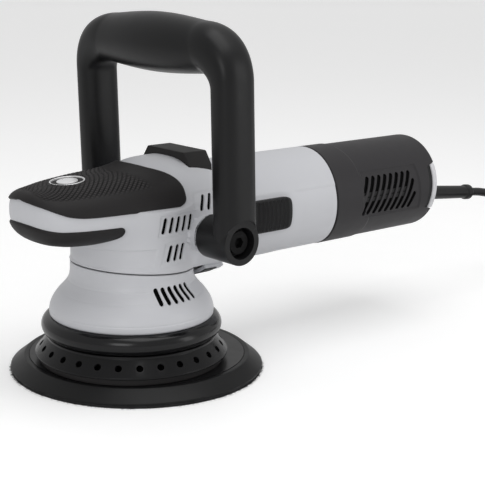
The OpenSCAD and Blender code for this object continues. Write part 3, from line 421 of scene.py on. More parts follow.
def revolve(outline, segments=192, axis="z", at=(0, 0, 0)):
    # A closed outline of (radius, height) carried round an axis: z, or x at the shaft's height.
    a = np.linspace(0, tau, segments, endpoint=False)[:, None]
    r, h = outline[:, 0][None], outline[:, 1][None]
    ring, across = r * np.cos(a), r * np.sin(a)
    high = np.broadcast_to(h, ring.shape)
    order = {"z": (ring, across, high), "x": (high, across, ring)}[axis]
    points = np.stack(order, -1) + np.array(at)
    return points, gridFaces(segments, len(outline), True, True)


def prism(outline, low, high, place):
    # A closed bar with a flat outline of (a, b), from low to high along its own axis.
    # place maps (a, b, c) to a point.
    n = len(outline)
    ends = [np.concatenate([outline, np.full((n, 1), c)], 1) for c in (low, high)]
    points = place(np.concatenate(ends))
    faces = [[i, (i + 1) % n, n + (i + 1) % n, n + i] for i in range(n)]
    return points, [list(range(n))[::-1], list(range(n, 2 * n))] + faces


def slotOutline(width, length, lean=0.0, steps=5):
    # A slot with round ends, leaning by an angle in degrees.
    r = width / 2
    half = length / 2
    box = rounded([(-r, -half, r), (r, -half, r), (r, half, r), (-r, half, r)], steps)
    c, s = cos(radians(lean)), sin(radians(lean))
    return box @ np.array([[c, -s], [s, c]])


def smoothRun(x, stations):
    # A smooth curve through stations of (place, value): cubic pieces with slopes that never overshoot.
    s = np.asarray(stations, float)
    xs, ys = s[:, 0], s[:, 1]
    h = np.diff(xs)
    d = np.diff(ys) / h
    m = np.zeros(len(xs))
    w1, w2 = 2 * h[1:] + h[:-1], h[1:] + 2 * h[:-1]
    same = d[:-1] * d[1:] > 0
    safe0, safe1 = np.where(same, d[:-1], 1), np.where(same, d[1:], 1)
    m[1:-1] = np.where(same, (w1 + w2) / (w1 / safe0 + w2 / safe1), 0)
    m[0], m[-1] = d[0], d[-1]
    x = np.clip(x, xs[0], xs[-1])
    i = np.clip(np.searchsorted(xs, x, side="right") - 1, 0, len(h) - 1)
    t = (x - xs[i]) / h[i]
    return ((1 + 2 * t) * (1 - t) ** 2 * ys[i] + t * (1 - t) ** 2 * h[i] * m[i]
            + t * t * (3 - 2 * t) * ys[i + 1] + t * t * (t - 1) * h[i] * m[i + 1])


def softStep(x, low, high):
    # 0 below low, 1 above high, and a smooth rise between.
    t = np.clip((x - low) / (high - low), 0, 1)
    return t * t * (3 - 2 * t)


def sweepTube(path, radius, sides=12, wave=None):
    # A round tube along a path of points, with flat ends. wave(s) may change the radius along its length.
    path = np.asarray(path, float)
    step = np.diff(path, axis=0)
    way = np.gradient(path, axis=0)
    way /= np.linalg.norm(way, axis=1)[:, None]
    across = np.cross([0, 0, 1.0], way)
    across /= np.linalg.norm(across, axis=1)[:, None]
    up = np.cross(way, across)
    s = np.concatenate([[0], np.cumsum(np.linalg.norm(step, axis=1))])
    r = radius * (np.ones(len(path)) if wave is None else wave(s))
    a = np.linspace(0, tau, sides, endpoint=False)[None, :, None]
    rings = path[:, None] + r[:, None, None] * (np.cos(a) * across[:, None] + np.sin(a) * up[:, None])
    n = len(path)
    caps = [list(range(sides))[::-1], list(range((n - 1) * sides, n * sides))]
    return rings.reshape(-1, 3), caps + gridFaces(n, sides, False, True).tolist(), s


# cord, coil and plug
cordFacts = {
    "diameter": 6.0, "length": 3.9,
    "lead": [(312, 0, 71), (324, 0, 69.5), (336, 0, 66.5), (347, 0, 61), (356, 0, 53), (363, 0, 43),
             (369, -1, 32), (376, -3, 21.5), (385, -5, 12.5), (396, -7.5, 6), (408, -9.5, 3.2),
             (419, -10, 3), (430, -10, 3)],
    "tail": [(430, -104, 21), (419, -104, 20.5), (408, -104, 18.5), (397, -104, 15), (387, -104, 11.5),
             (378, -104, 9.2), (370, -104, 8.5)],
    "coilAt": (430, -57), "innerTurn": 29, "columns": 4, "layers": 4, "halfTurnAtEnd": 0.5,
}


def throughPoints(points, each=6):
    # A smooth line through given points: Catmull-Rom pieces with the end points repeated.
    p = np.asarray(points, float)
    p = np.concatenate([[2 * p[0] - p[1]], p, [2 * p[-1] - p[-2]]])
    t = np.linspace(0, 1, each, endpoint=False)[:, None]
    pieces = [0.5 * (2 * p[i] + (p[i + 1] - p[i - 1]) * t
                     + (2 * p[i - 1] - 5 * p[i] + 4 * p[i + 1] - p[i + 2]) * t ** 2
                     + (3 * p[i] - p[i - 1] - 3 * p[i + 1] + p[i + 2]) * t ** 3)
                     for i in range(1, len(p) - 2)]
    return np.concatenate(pieces + [p[-2][None]])


def coilTurns():
    # Turns wound side by side, then back over themselves.
    # Radius and height are smooth stairs of the turn count.
    d, inner, columns, layers = (cordFacts[k] for k in ("diameter", "innerTurn", "columns", "layers"))
    turns = columns * layers - cordFacts["halfTurnAtEnd"]
    count = np.linspace(0, turns, int(turns * 40) + 1)
    whole, part = np.floor(count), count % 1
    seat = whole + softStep(part, 0.72, 1.0)
    layer = np.floor(seat / columns)
    within = seat - layer * columns
    place = np.minimum(within, columns - 1)
    rise = layer + np.maximum(within - (columns - 1), 0)
    step = np.where(layer % 2 == 0, columns - 1 - place, place)
    radius = inner + d * step
    angle = pi / 2 - tau * count
    x, y = cordFacts["coilAt"]
    return np.stack([x + radius * np.cos(angle), y + radius * np.sin(angle), d / 2 + d * rise], -1)


cordPath = np.concatenate([throughPoints(cordFacts["lead"])[:-1], coilTurns()[:-1],
                           throughPoints(cordFacts["tail"])])
cordPoints, cordFaces, cordRun = sweepTube(cordPath, cordFacts["diameter"] / 2, 12)
leadCord = makePiece("leadCord", [(cordPoints, cordFaces)], "cord_black", "housing", 50,
                     replaces=("cord_lead", "cord_coil", "cord_tail"))


plugShape = {"length": 48, "rings": 97, "sides": 40, "ribPitch": 3.2, "ribDepth": 0.5, "pinLength": 19,
             "pinR": 2.4, "pinY": 9.5}
plugX, plugY, plugZ = cordFacts["tail"][-1]


def makePlug():
    # A two pin plug: a ribbed grip that widens into a flat oval body, carried along -X as rings.
    rows, sides = plugShape["rings"], plugShape["sides"]
    along = np.linspace(0, plugShape["length"], rows)
    halfWide = smoothRun(along, [(0, 5), (10, 6), (24, 8.2), (30, 14), (34, 17), (45, 17.3), (48, 16.2)])
    halfTall = smoothRun(along, [(0, 5), (10, 6), (24, 8), (30, 8.2), (45, 8.4), (48, 7.4)])
    ribs = plugShape["ribDepth"] * np.cos(along * tau / plugShape["ribPitch"])
    ribs = ribs * softStep(along, 3, 5) * (1 - softStep(along, 21, 23))
    a = np.linspace(0, tau, sides, endpoint=False)[None]
    ca, sa = np.cos(a), np.sin(a)
    y = (halfWide + ribs)[:, None] * np.sign(ca) * np.abs(ca) ** 0.85
    z = (halfTall + ribs)[:, None] * np.sign(sa) * np.abs(sa) ** 0.85
    x = np.broadcast_to(-along[:, None], y.shape)
    points = np.stack([plugX + x, plugY + y, plugZ + z], -1)
    caps = [list(range(sides))[::-1], list(range((rows - 1) * sides, rows * sides))]
    return points.reshape(-1, 3), caps + gridFaces(rows, sides, False, True).tolist()


plugBody = makePiece("plugBody", [makePlug()], "plug_black", "housing", 35, replaces=("plug_body",))
pinR, pinLength = plugShape["pinR"], plugShape["pinLength"]
pinOutline = rounded([(0, 0, 0), (pinR, 0, 0.2), (pinR, pinLength, 1.2), (0, pinLength, 0)], 5) * [1, -1]
pinParts = [revolve(pinOutline, 24, "x",
                    (plugX - plugShape["length"], plugY + side * plugShape["pinY"], plugZ))
            for side in (-1, 1)]
plugPins = makePiece("plugPins", pinParts, "pin_nickel", "housing", 40, replaces=("plug_pins",))


def makeTie():
    # A flat strap wrapped round the bundle of turns: a rounded ring across the coil, with a small buckle.
    x, y = cordFacts["coilAt"]
    low, high, side = cordFacts["innerTurn"] - 3.0, cordFacts["innerTurn"] + 21.0, 24.0
    path = rounded([(low - 0.7, 0.05, 3), (high + 0.7, 0.05, 3), (high + 0.7, side + 0.7, 3),
                    (low - 0.7, side + 0.7, 3)], 8)
    away = path - path.mean(0)
    away /= np.linalg.norm(away, axis=1)[:, None]
    outside, halfWide = path + 0.9 * away, 5.0
    corners = [(path, -halfWide), (path, halfWide), (outside, halfWide), (outside, -halfWide)]
    points = np.stack([np.stack([x + c[:, 0], np.full(len(path), y + w), np.maximum(c[:, 1], 0.05)], -1)
                       for c, w in corners], 1)
    buckle = prism(rounded([(-4, -6.5, 1), (4, -6.5, 1), (4, 6.5, 1), (-4, 6.5, 1)]), 0, 3.0,
                   lambda p: np.stack([x + 38 + p[:, 0], y + p[:, 1], side + 0.6 + p[:, 2]], -1))
    return [(points.reshape(-1, 3), gridFaces(len(path), 4, True, True)), buckle]


coilTie = makePiece("coilTie", makeTie(), "inner_black", "housing", 40)
print("cord laid:", round(float(cordRun[-1]) / 1000, 3), "m")


# head: nose, barrel and bosses
def boxOf(node):
    low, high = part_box(node)
    return np.array(low) / mm, np.array(high) / mm


headLow = boxOf("head_housing")[0]
motorLow, motorHigh = boxOf("motor_housing")
coverHigh = boxOf("rear_cover")[1]
boltLow, boltHigh = boxOf("handle_bolts")
noseX, jointX = headLow[0], motorLow[0]
shaftZ, motorR = (motorLow[2] + motorHigh[2]) / 2, (motorHigh[2] - motorLow[2]) / 2
pivotX, pivotZ = (boltLow[0] + boltHigh[0]) / 2, (boltLow[2] + boltHigh[2]) / 2

headShape = {
    "barrelRadius": 36.0, "barrelTop": 101.0, "barrelBlend": 6.0, "wall": 0.8, "power": 2.5,
    "bossRadius": 10.6, "bossBlend": 2.0, "bossReach": 41.5, "seamHeight": 66.3, "seamSlope": -0.0825,
    "centre": (-8.0, 0.0, 98.0), "columns": 360, "rows": 169, "slotWidth": 2.6,
    # (distance behind the nose tip, value)
    "halfWidth": [(0, 0.4), (0.5, 5.5), (1.5, 10.5), (4, 16.8), (8, 21.6), (14, 25), (25, 28.5),
                  (40, 31), (60, 33.5), (75, 35.1), (87, 35.5), (101, 35.5), (113, 34), (127, 32.1)],
    "top": [(0, 109.8), (0.5, 111.6), (1.5, 113.3), (4, 114.8), (8, 115.6), (14, 116.3), (25, 117.8),
            (40, 119.2), (60, 120.7), (69, 121.7), (75, 122.8), (81, 124.6), (88, 126.3), (100, 127),
            (112, 125.8), (127, 121.1)],
    "bottom": [(0, 106.3), (0.5, 102.5), (1.5, 98), (4, 93.2), (8, 89.7), (14, 87.2), (25, 85.4),
               (40, 84.8), (60, 85), (69, 84), (76, 82), (87, 74), (98, 62), (104, 57.2), (127, 56.9)],
    # shallow panels on both sides: x from, x to, z from, z to, lean, depth
    "panels": [(-7.5, 19.5, 88.3, 100.6, 0.06, 0.45), (-4.5, 13.5, 71.6, 84.4, 0.25, 0.45),
               (-60, -9.5, 70.5, 81.5, 0.3, 0.6), (17.5, 33.5, 101.2, 110.3, 0.06, 0.4)],
}


def edgeRound(distance, width):
    # 0 at an edge, 1 beyond width, as a quarter circle.
    t = 1 - np.clip(distance / width, 0, 1)
    return np.sqrt(np.clip(1 - t * t, 0, 1))


def smoothJoin(a, b, k):
    # The smaller of two distances, rounded where they are within k of each other.
    h = np.maximum(k - np.abs(a - b), 0) / k
    return np.minimum(a, b) - h * h * k / 4


def panelDepth(x, z):
    # How deep the shallow panels are at a point: soft boxes in side view.
    depth = 0
    for x0, x1, z0, z1, lean, deep in headShape["panels"]:
        u = x - lean * (z - (z0 + z1) / 2)
        inside = softStep(u, x0 - 0.5, x0 + 0.5) * (1 - softStep(u, x1 - 0.5, x1 + 0.5))
        depth = depth + (deep * inside * softStep(z, z0 - 0.5, z0 + 0.5)
                         * (1 - softStep(z, z1 - 0.5, z1 + 0.5)))
    return depth


def headBody(p):
    # Below zero inside: superellipses that change along X, joined softly to an upright barrel and two bosses.
    x, y, z = p[..., 0], p[..., 1], p[..., 2]
    t = x - noseX
    wide, top, bottom = (smoothRun(t, headShape[k]) for k in ("halfWidth", "top", "bottom"))
    half, middle, n = (top - bottom) / 2, (top + bottom) / 2, headShape["power"]
    spread = (np.abs(y / wide) ** n + np.abs((z - middle) / half) ** n) ** (1 / n)
    loft = np.maximum((spread - 1) * np.minimum(wide, half), -t)
    loft = -smoothJoin(-loft, -(x - jointX - 0.4), 1.6)
    barrel = np.maximum(np.hypot(x, y) - headShape["barrelRadius"], z - headShape["barrelTop"])
    body = smoothJoin(loft, barrel, headShape["barrelBlend"])
    boss = np.hypot(x - pivotX, z - pivotZ) - headShape["bossRadius"] + 1.2
    boss = np.maximum(boss, np.abs(y) - headShape["bossReach"] + 2)
    return smoothJoin(body, boss, headShape["bossBlend"]) + panelDepth(x, z)


def seamZ(x):
    # The parting line between head and skirt, a plane that falls a little towards the motor.
    return headShape["seamHeight"] + headShape["seamSlope"] * x


def headOuter(p):
    # The head's body, cut off at the parting line with a small round edge.
    return -smoothJoin(-headBody(p), p[..., 2] - seamZ(p[..., 0]), 1.2)


def headInner(p):
    # The inner wall: one wall's thickness inside the body and above the parting line.
    return np.maximum(headBody(p) + headShape["wall"], seamZ(p[..., 0]) + headShape["wall"] - p[..., 2])


def shadeSheetOuter(p):
    # Painted shade: a dark sheet just inside the wall, seen through the vents in place of the unlit inside.
    return headInner(p) + 0.2


def shadeSheetInner(p):
    return headInner(p) + 0.9


def loftPoint(x, a):
    # A point of the plain loft at x and at an angle round its section.
    t = x - noseX
    wide, top, bottom = (smoothRun(t, headShape[k]) for k in ("halfWidth", "top", "bottom"))
    power = 2 / headShape["power"]
    ca, sa = np.cos(a), np.sin(a)
    return np.stack([x, wide * np.sign(ca) * np.abs(ca) ** power,
                     (top + bottom) / 2 + (top - bottom) / 2 * np.sign(sa) * np.abs(sa) ** power], -1)


def marchOut(origin, way, field, low=2.0, high=110.0):
    # The distance along each ray at which the field turns positive, found by halving.
    low, high = np.full(way.shape[:-1], low), np.full(way.shape[:-1], high)
    for _ in range(26):
        middle = (low + high) / 2
        inside = field(origin + way * middle[..., None]) < 0
        low, high = np.where(inside, middle, low), np.where(inside, high, middle)
    return origin + way * low[..., None]


def slope(field, p, step=0.05):
    # The field's gradient by central differences.
    moves = np.eye(3) * step
    return np.stack([(field(p + m) - field(p - m)) / (2 * step) for m in moves], -1)


def onHead(p, level):
    # Points pulled onto the head's surface, then moved out along its normal by level.
    for _ in range(5):
        g = slope(headBody, p)
        p = p - g * (headBody(p) / (g * g).sum(-1))[..., None]
    g = slope(headBody, p)
    return p + g / np.linalg.norm(g, axis=-1)[..., None] * np.asarray(level)[..., None]


def slab(top, bottom):
    # Two grids of the same size joined round their edge into a closed pad.
    n, m = top.shape[:2]
    count = n * m
    rim = np.concatenate([np.arange(m), np.arange(1, n) * m + m - 1, (n - 1) * m + np.arange(m - 2, -1, -1),
                          np.arange(n - 2, 0, -1) * m])
    ahead = np.roll(rim, -1)
    faces = np.concatenate([gridFaces(n, m), gridFaces(n, m)[:, ::-1] + count,
                            np.stack([rim, ahead, ahead + count, rim + count], -1)])
    return np.concatenate([top.reshape(-1, 3), bottom.reshape(-1, 3)]), faces


def headShell(outside, within, columns, rows, every):
    # Rays from a centre inside the head, from the barrel's foot circle up to the crown: outer and inner wall.
    c = np.array(headShape["centre"])
    a = np.linspace(0, tau, columns, endpoint=False)
    ux, uy = np.cos(a), np.sin(a)
    b = c[0] * ux + c[1] * uy
    reach = -b + np.sqrt(b * b - c[0] ** 2 - c[1] ** 2 + headShape["barrelRadius"] ** 2)
    foot = np.arctan2(seamZ(c[0] + reach * ux) + 0.2 - c[2], reach)
    rise = foot[None] + (pi / 2 - foot[None]) * np.linspace(0, 1, rows)[:, None]
    way = np.stack([np.cos(rise) * ux, np.cos(rise) * uy, np.sin(rise)], -1)
    outer = marchOut(c, way, outside)
    inner = marchOut(c, way[::every], within)
    n, k = rows * columns, len(inner)
    upper, lower = np.arange(columns), np.arange(columns) + n
    ahead = np.roll(np.arange(columns), -1)
    foot = np.stack([upper, ahead, ahead + n, lower], -1)
    top = [(rows - 1) * columns + np.arange(columns), n + (k - 1) * columns + np.arange(columns)]
    faces = gridFaces(rows, columns, False, True).tolist() + gridFaces(k, columns, False, True, n).tolist()
    faces += foot.tolist() + ([] if (rows - 1) % every == 0 else [top[1].tolist()])
    return np.concatenate([outer.reshape(-1, 3), inner.reshape(-1, 3)]), faces


def blockOutline(x0, x1, halfZ, corner):
    # A rectangle in (x, z) about the shaft's height, with round corners.
    return rounded([(x0, shaftZ - halfZ, corner), (x1, shaftZ - halfZ, corner),
                    (x1, shaftZ + halfZ, corner), (x0, shaftZ + halfZ, corner)])


def sideBar(outline, y0=-50.0, y1=-20.0):
    # A bar along Y with an outline drawn in (x, z).
    return prism(outline, y0, y1, lambda p: np.stack([p[:, 0], p[:, 2], p[:, 1]], -1))


def mirrored(parts):
    return parts + [(np.asarray(p) * [1, -1, 1], f) for p, f in parts]


def makeShaded(piece):
    # Painted shade for the unlit inside behind the vents: the black nylon darkened so that hardly any light
    # comes back.
    material = finishes["inner_black"].copy()
    material.name = "shadedNylon"
    shader = material.node_tree.nodes["Principled BSDF"]
    for link in list(shader.inputs["Base Color"].links):
        material.node_tree.links.remove(link)
    shader.inputs["Base Color"].default_value = (0.0012, 0.0012, 0.0013, 1)
    shader.inputs["Specular IOR Level"].default_value = 0.03
    piece.data.materials[0] = material
    return piece


def ventBars():
    # Round-ended slots in rows: x, z of the first, number, pitch, length, lean.
    rows = [(-4.3, 94.5, 5, 4.7, 9.6, 8), (0.0, 78.0, 3, 4.8, 9.8, 16), (24.4, 104.0, 2, 5.5, 9.6, 17)]
    return [sideBar(slotOutline(headShape["slotWidth"], length, lean) + [x + pitch * i, z])
            for x, z, count, pitch, length, lean in rows for i in range(count)]


headWall = headShell(headOuter, headInner, headShape["columns"], headShape["rows"], 6)
head = makePiece("headHousing", [headWall], "housing_grey", "housing", 28, replaces=("head_housing",))
combine(head, bareObject("ventCutter", mirrored(ventBars())), sharp=28)
bossEdge = rounded([(9, 34, 0), (headShape["bossRadius"], 34, 0), (headShape["bossRadius"], 41.3, 0.7),
                    (9, 41.3, 0)])
bossPoints, bossFaces = revolve(bossEdge, 96)
bosses = [(np.stack([pivotX + bossPoints[..., 0], side * bossPoints[..., 2],
                     pivotZ + bossPoints[..., 1]], -1), bossFaces) for side in (-1, 1)]
makePiece("handleBosses", bosses, "housing_grey", "housing", 30)
# Painted shade: a near-black sheet behind the head's vents.
makeShaded(makePiece("ventShadeSheet", [headShell(shadeSheetOuter, shadeSheetInner, 120, 61, 1)], "inner_black",
                     "housing", 40))


footShape = {"frontX": 36.6, "thick": 2.4, "drop": 2.6, "gasketX": 36.75, "gasketRear": 47.5,
             "gasketBow": 2.5}


def footPoint(x, a, level):
    # The loft's lower rear corner, let down a little at the bottom, and moved out from the shaft by level.
    base = loftPoint(np.broadcast_to(x, a.shape), a)
    base[..., 2] -= footShape["drop"] * np.clip(-np.sin(a), 0, 1) ** 1.5
    way = base - [0, 0, shaftZ]
    way[..., 0] = 0
    return base + way / np.linalg.norm(way, axis=-1)[..., None] * level


def footStart(x):
    # The angle at which the loft meets the parting line.
    t = x - noseX
    top, bottom = smoothRun(t, headShape["top"]), smoothRun(t, headShape["bottom"])
    return np.arcsin(np.clip((seamZ(x) + 1.5 - (top + bottom) / 2) / ((top - bottom) / 2), -1, 0))


def makeFoot():
    # The housing's lower rear corner behind the skirt, below the parting line.
    x = np.linspace(footShape["frontX"], jointX + 0.3, 24)[:, None]
    start = footStart(x)
    a = start + (-pi - 2 * start) * np.linspace(0, 1, 90)[None]
    return slab(footPoint(x, a, -0.25), footPoint(x, a, -footShape["thick"]))


def makeGasket():
    # A dark cover wrapped under the foot, with a curved rear edge.
    share = np.linspace(-1, 1, 90)[None]
    front = footShape["gasketX"]
    rear = footShape["gasketRear"] - footShape["gasketBow"] * (1 - share ** 2)
    x = front + (rear - front) * np.linspace(0, 1, 30)[:, None]
    first = footStart(x) - radians(3)
    a = -pi / 2 - (pi / 2 + first) * share
    level = -0.15 + 0.45 * edgeRound(rear - x, 0.6)
    return slab(footPoint(x, a, level[..., None]), footPoint(x, a, -1.2))


makePiece("headFoot", [makeFoot()], "housing_grey", "housing", 32)
makePiece("footGasket", [makeGasket()], "inner_black", "housing", 32)
print("head made")


# rubber on the nose
gripShape = {"thickness": 1.35, "edge": 1.7, "knurl": 0.5, "startX": -74.25, "columns": 150}


def makeGrip():
    # Rows across the nose from tip to rear edge, columns from one lower edge over the crown to the other.
    # Crossed diagonal grooves are cut where the row and column numbers match.
    g = gripShape
    s = np.linspace(-1, 1, 2 * (g["columns"] // 2) + 1)[None]
    rear = smoothRun(np.abs(s), [(0, 2.6), (0.12, 2.9), (0.24, 4.2), (0.4, 6.8), (0.5, 8.6),
                                 (0.6, 10.2), (0.75, 11.8), (0.88, 12.1), (0.95, 11), (1, 7)])
    nose = g["startX"] + (-70 - g["startX"]) * np.linspace(0, 1, 26)[:-1] ** 1.8
    even = np.arange(-70, -10, 0.5)
    tail = np.linspace(0, 1, 40)[:, None] ** 0.9
    x = np.concatenate([np.repeat(nose[:, None], s.size, 1), np.repeat(even[:, None], s.size, 1),
                        -10 + (rear + 10) * tail])
    low = smoothRun(x, [(-75, 112.6), (-74, 111.4), (-70, 109.2), (-65, 106.8), (-59, 104.6),
                        (-51, 103.5), (-40, 103.2), (12, 103.6)])
    t = x - noseX
    top, bottom = smoothRun(t, headShape["top"]), smoothRun(t, headShape["bottom"])
    lift = np.clip((low - (top + bottom) / 2) / ((top - bottom) / 2), 0, 1) ** (headShape["power"] / 2)
    start = np.arcsin(lift)
    a = pi / 2 - (pi / 2 - start) * s
    base = loftPoint(x, a)
    sideRun = (1 - np.abs(s)) * (pi / 2 - start) * smoothRun(t, headShape["halfWidth"]) * 1.15
    edge = np.minimum(sideRun, (rear - x) * 1.1)
    row, column = np.arange(x.shape[0])[:, None], np.arange(x.shape[1])[None]
    groove = ((row + column) % 6 < 2) | ((row - column) % 6 < 2)
    zone = softStep(x, -71, -67) * (1 - softStep(x, -17 + 9 * np.abs(s), -11 + 9 * np.abs(s)))
    zone = zone * (1 - softStep(np.abs(s), 0.52, 0.66))
    away = np.hypot(base[..., 0] - badgeShape["x"], base[..., 1])
    zone = zone * softStep(away, badgeShape["ring"], badgeShape["ring"] + 1.5)
    thick = g["thickness"] - 0.7 * softStep(x, -30, -8) * (1 - softStep(np.abs(s), 0.15, 0.6))
    level = -0.35 + (thick + 0.35) * edgeRound(edge, g["edge"]) - g["knurl"] * groove * zone
    level = level - 0.9 * (1 - softStep(away, badgeShape["ring"] - 0.6, badgeShape["ring"]))
    # The mask holds painted shade for the grooves and a painted highlight for the diamond tops.
    shadeLightMask = np.concatenate([(0.5 + (0.5 - groove) * zone).ravel(), np.full(x.size, 0.5)])
    return slab(onHead(base, level), onHead(base, np.full(x.shape, -0.6))), shadeLightMask


badgeShape = {"x": -44.0, "disc": 5.9, "ring": 10.0, "ringWidth": 0.9, "tilt": 5.8}


def makeBadge():
    # A low silver dome inside a thin silver ring, on the nose's slope.
    top = smoothRun(np.array([badgeShape["x"] - noseX]), headShape["top"])[0]
    dome = rounded([(0, -0.5, 0), (badgeShape["disc"], -0.5, 0), (badgeShape["disc"], 0.95, 0.35),
                    (3, 1.35, 4), (0, 1.4, 0)])
    out, wide = badgeShape["ring"], badgeShape["ringWidth"]
    band = rounded([(out - wide, -0.8, 0), (out, -0.8, 0), (out, 1.1, 0.4), (out - wide, 1.1, 0.4)])
    turn = radians(-badgeShape["tilt"])
    spin = np.array([[cos(turn), 0, sin(turn)], [0, 1, 0], [-sin(turn), 0, cos(turn)]])
    parts = []
    for outline in (dome, band):
        points, faces = revolve(outline, 96)
        parts.append((points @ spin.T + [badgeShape["x"], 0, top], faces))
    return parts


def paintGrooveShadeAndTopHighlight(piece):
    # The grip's rubber with painted shade in its grooves and a painted highlight on the tops of the diamonds:
    # the mask is 0 in a groove, a half on plain rubber and 1 on a diamond's top.
    material = finishes["grip_rubber"].copy()
    material.name = "knurledGripRubberPaintedLight"
    tree = material.node_tree
    shader = tree.nodes["Principled BSDF"]
    given = shader.inputs["Base Color"].links[0].from_socket
    mark = tree.nodes.new("ShaderNodeAttribute")
    mark.attribute_name = "groove"
    # Painted shade and highlight: grooves darkened, diamond tops lightened.
    ramp = tree.nodes.new("ShaderNodeValToRGB")
    ramp.color_ramp.elements[0].color = (0.03, 0.03, 0.03, 1)
    ramp.color_ramp.elements[1].color = (0.62, 0.62, 0.62, 1)
    plain = ramp.color_ramp.elements.new(0.5)
    plain.color = (0.25, 0.25, 0.25, 1)
    shade = tree.nodes.new("ShaderNodeVectorMath")
    shade.operation = "MULTIPLY"
    raised = tree.nodes.new("ShaderNodeVectorMath")
    raised.operation = "SCALE"
    raised.inputs["Scale"].default_value = 4.0
    tree.links.new(mark.outputs["Fac"], ramp.inputs["Fac"])
    tree.links.new(given, shade.inputs[0])
    tree.links.new(ramp.outputs["Color"], shade.inputs[1])
    tree.links.new(shade.outputs["Vector"], raised.inputs[0])
    tree.links.new(raised.outputs["Vector"], shader.inputs["Base Color"])
    piece.data.materials[0] = material


gripParts, gripShadeAndHighlightMask = makeGrip()
paintGrooveShadeAndTopHighlight(makePiece("noseGrip", [gripParts], "grip_rubber", "housing", 40, replaces=("nose_grip",),
                       shadeLightMask=gripShadeAndHighlightMask))
makePiece("noseBadge", makeBadge(), "badge_silver", "housing", 35, replaces=("nose_badge",))


stripShape = {"angle": 66, "proud": 1.2, "edge": 1.5, "endX": -27.0, "endRound": 4.5}


def makeStrip():
    # Columns run round the nose by angle seen from above, rows up from the lower to the upper edge.
    angle = np.linspace(radians(-stripShape["angle"]), radians(stripShape["angle"] - 360), 280)[None]
    way = np.stack([np.cos(angle), np.sin(angle), np.zeros_like(angle)], -1)
    middle = marchOut(np.array([-40.0, 0, 92.3]), way, headBody, 1)[..., 0]
    top = smoothRun(middle, [(-76, 106), (-75, 105.2), (-74, 103.8), (-72, 101), (-67, 98),
                             (-60, 96.8), (-33, 96.4)])
    low = smoothRun(middle, [(-76, 93), (-74, 90), (-71, 87.4), (-60, 85.2), (-45, 85.4), (-35, 87),
                             (-30, 88.3)])
    run = stripShape["endRound"]
    closing = np.sqrt(np.clip(1 - (np.clip(middle - stripShape["endX"] + run, 0, run) / run) ** 2, 0, 1))
    centre = (top + low) / 2
    share = (1 - np.cos(np.linspace(0, pi, 26)))[:, None] / 2
    high = (top - centre) * closing
    deep = (centre - low) * closing
    z = centre - deep + (high + deep) * share
    origin = np.stack([np.full(z.shape, -40.0), np.zeros(z.shape), z], -1)
    base = marchOut(origin, np.broadcast_to(way, z.shape + (3,)), headBody, 1)
    edge = np.minimum(share, 1 - share) * (high + deep)
    level = -0.3 + (stripShape["proud"] + 0.3) * edgeRound(edge, stripShape["edge"])
    return slab(onHead(base, level), onHead(base, np.full(z.shape, -0.6)))


makePiece("noseStrip", [makeStrip()], "grip_rubber", "housing", 40, replaces=("nose_strip",))


padShape = {"halfFoot": 22.6, "footZ": 117, "halfSide": 22, "sideZ": 122.8, "halfTop": 16.8, "topZ": 130.4}


def makeRestPad():
    # A low block with slanted sides: its outline in (y, z) is carried along X and drawn in at both ends.
    x0, x1 = boxOf("rest_pad")[0][0], boxOf("rest_pad")[1][0]
    foot, side, top = (padShape[k] for k in ("halfFoot", "halfSide", "halfTop"))
    footZ, sideZ, topZ = (padShape[k] for k in ("footZ", "sideZ", "topZ"))
    outline = rounded([(-foot, footZ, 0), (foot, footZ, 0), (side, sideZ, 1.2), (top, topZ, 1.4),
                       (-top, topZ, 1.4), (-side, sideZ, 1.2)], 6)
    share = np.concatenate([np.linspace(0, 0.07, 6), np.linspace(0.07, 0.93, 12)[1:-1],
                            np.linspace(0.93, 1, 6)])
    drawn = 1.4 * (1 - edgeRound(np.minimum(share, 1 - share) * (x1 - x0), 1.3))
    middle = np.array([0, 122.0])
    away = outline - middle
    away /= np.linalg.norm(away, axis=1)[:, None]
    rings = outline[None] - away[None] * drawn[:, None, None]
    x = np.broadcast_to((x0 + (x1 - x0) * share)[:, None], rings.shape[:2])
    points = np.stack([x, rings[..., 0], rings[..., 1]], -1)
    n, m = points.shape[:2]
    caps = [list(range(m))[::-1], list(range((n - 1) * m, n * m))]
    return points.reshape(-1, 3), caps + gridFaces(n, m, False, True).tolist()


makePiece("restPad", [makeRestPad()], "grip_rubber", "housing", 32, replaces=("rest_pad",))
print("nose rubber made")


# skirt, bumper and exhaust ring
skirtLow = boxOf("head_skirt")[0]
skirtShape = {"wall": 0.8, "slots": 6, "slotStep": 6.8, "slotWidth": 2.7, "slotLength": 9.4, "slotZ": 55,
              "radius": [(36.5, 47.3), (37.3, 47.9), (39.6, 48.1), (42.3, 47.6), (44.8, 46.6), (47.5, 45),
                         (50.2, 43), (53, 40.4), (55, 38.7), (57.5, 37.1), (60.5, 36.1), (64, 35.75),
                         (69.5, 35.7)]}


def makeSkirt():
    # The flared profile turned round Z, with two fine grooves, and a plain inner wall.
    # Its rim follows the parting line.
    turn = np.linspace(0, tau, 256, endpoint=False)[:, None]
    rim = seamZ(36 * np.cos(turn)) - 0.45
    z = skirtLow[2] + (rim - skirtLow[2]) * np.linspace(0, 1, 120)[None]
    r = smoothRun(z, skirtShape["radius"]) - 0.5 * (1 - edgeRound(rim - z, 0.6))
    for at in (40.8, 51.5, 57.5):
        r = r - 0.16 * np.exp(-((z - at) / 0.4) ** 2)
    back = skirtLow[2] + (rim - skirtLow[2]) * np.linspace(1, 0, 30)[None]
    inner = smoothRun(back, skirtShape["radius"]) - skirtShape["wall"]
    r, z = np.concatenate([r, inner], 1), np.concatenate([z, back], 1)
    return np.stack([r * np.cos(turn), r * np.sin(turn), z], -1), gridFaces(256, z.shape[1], True, True)


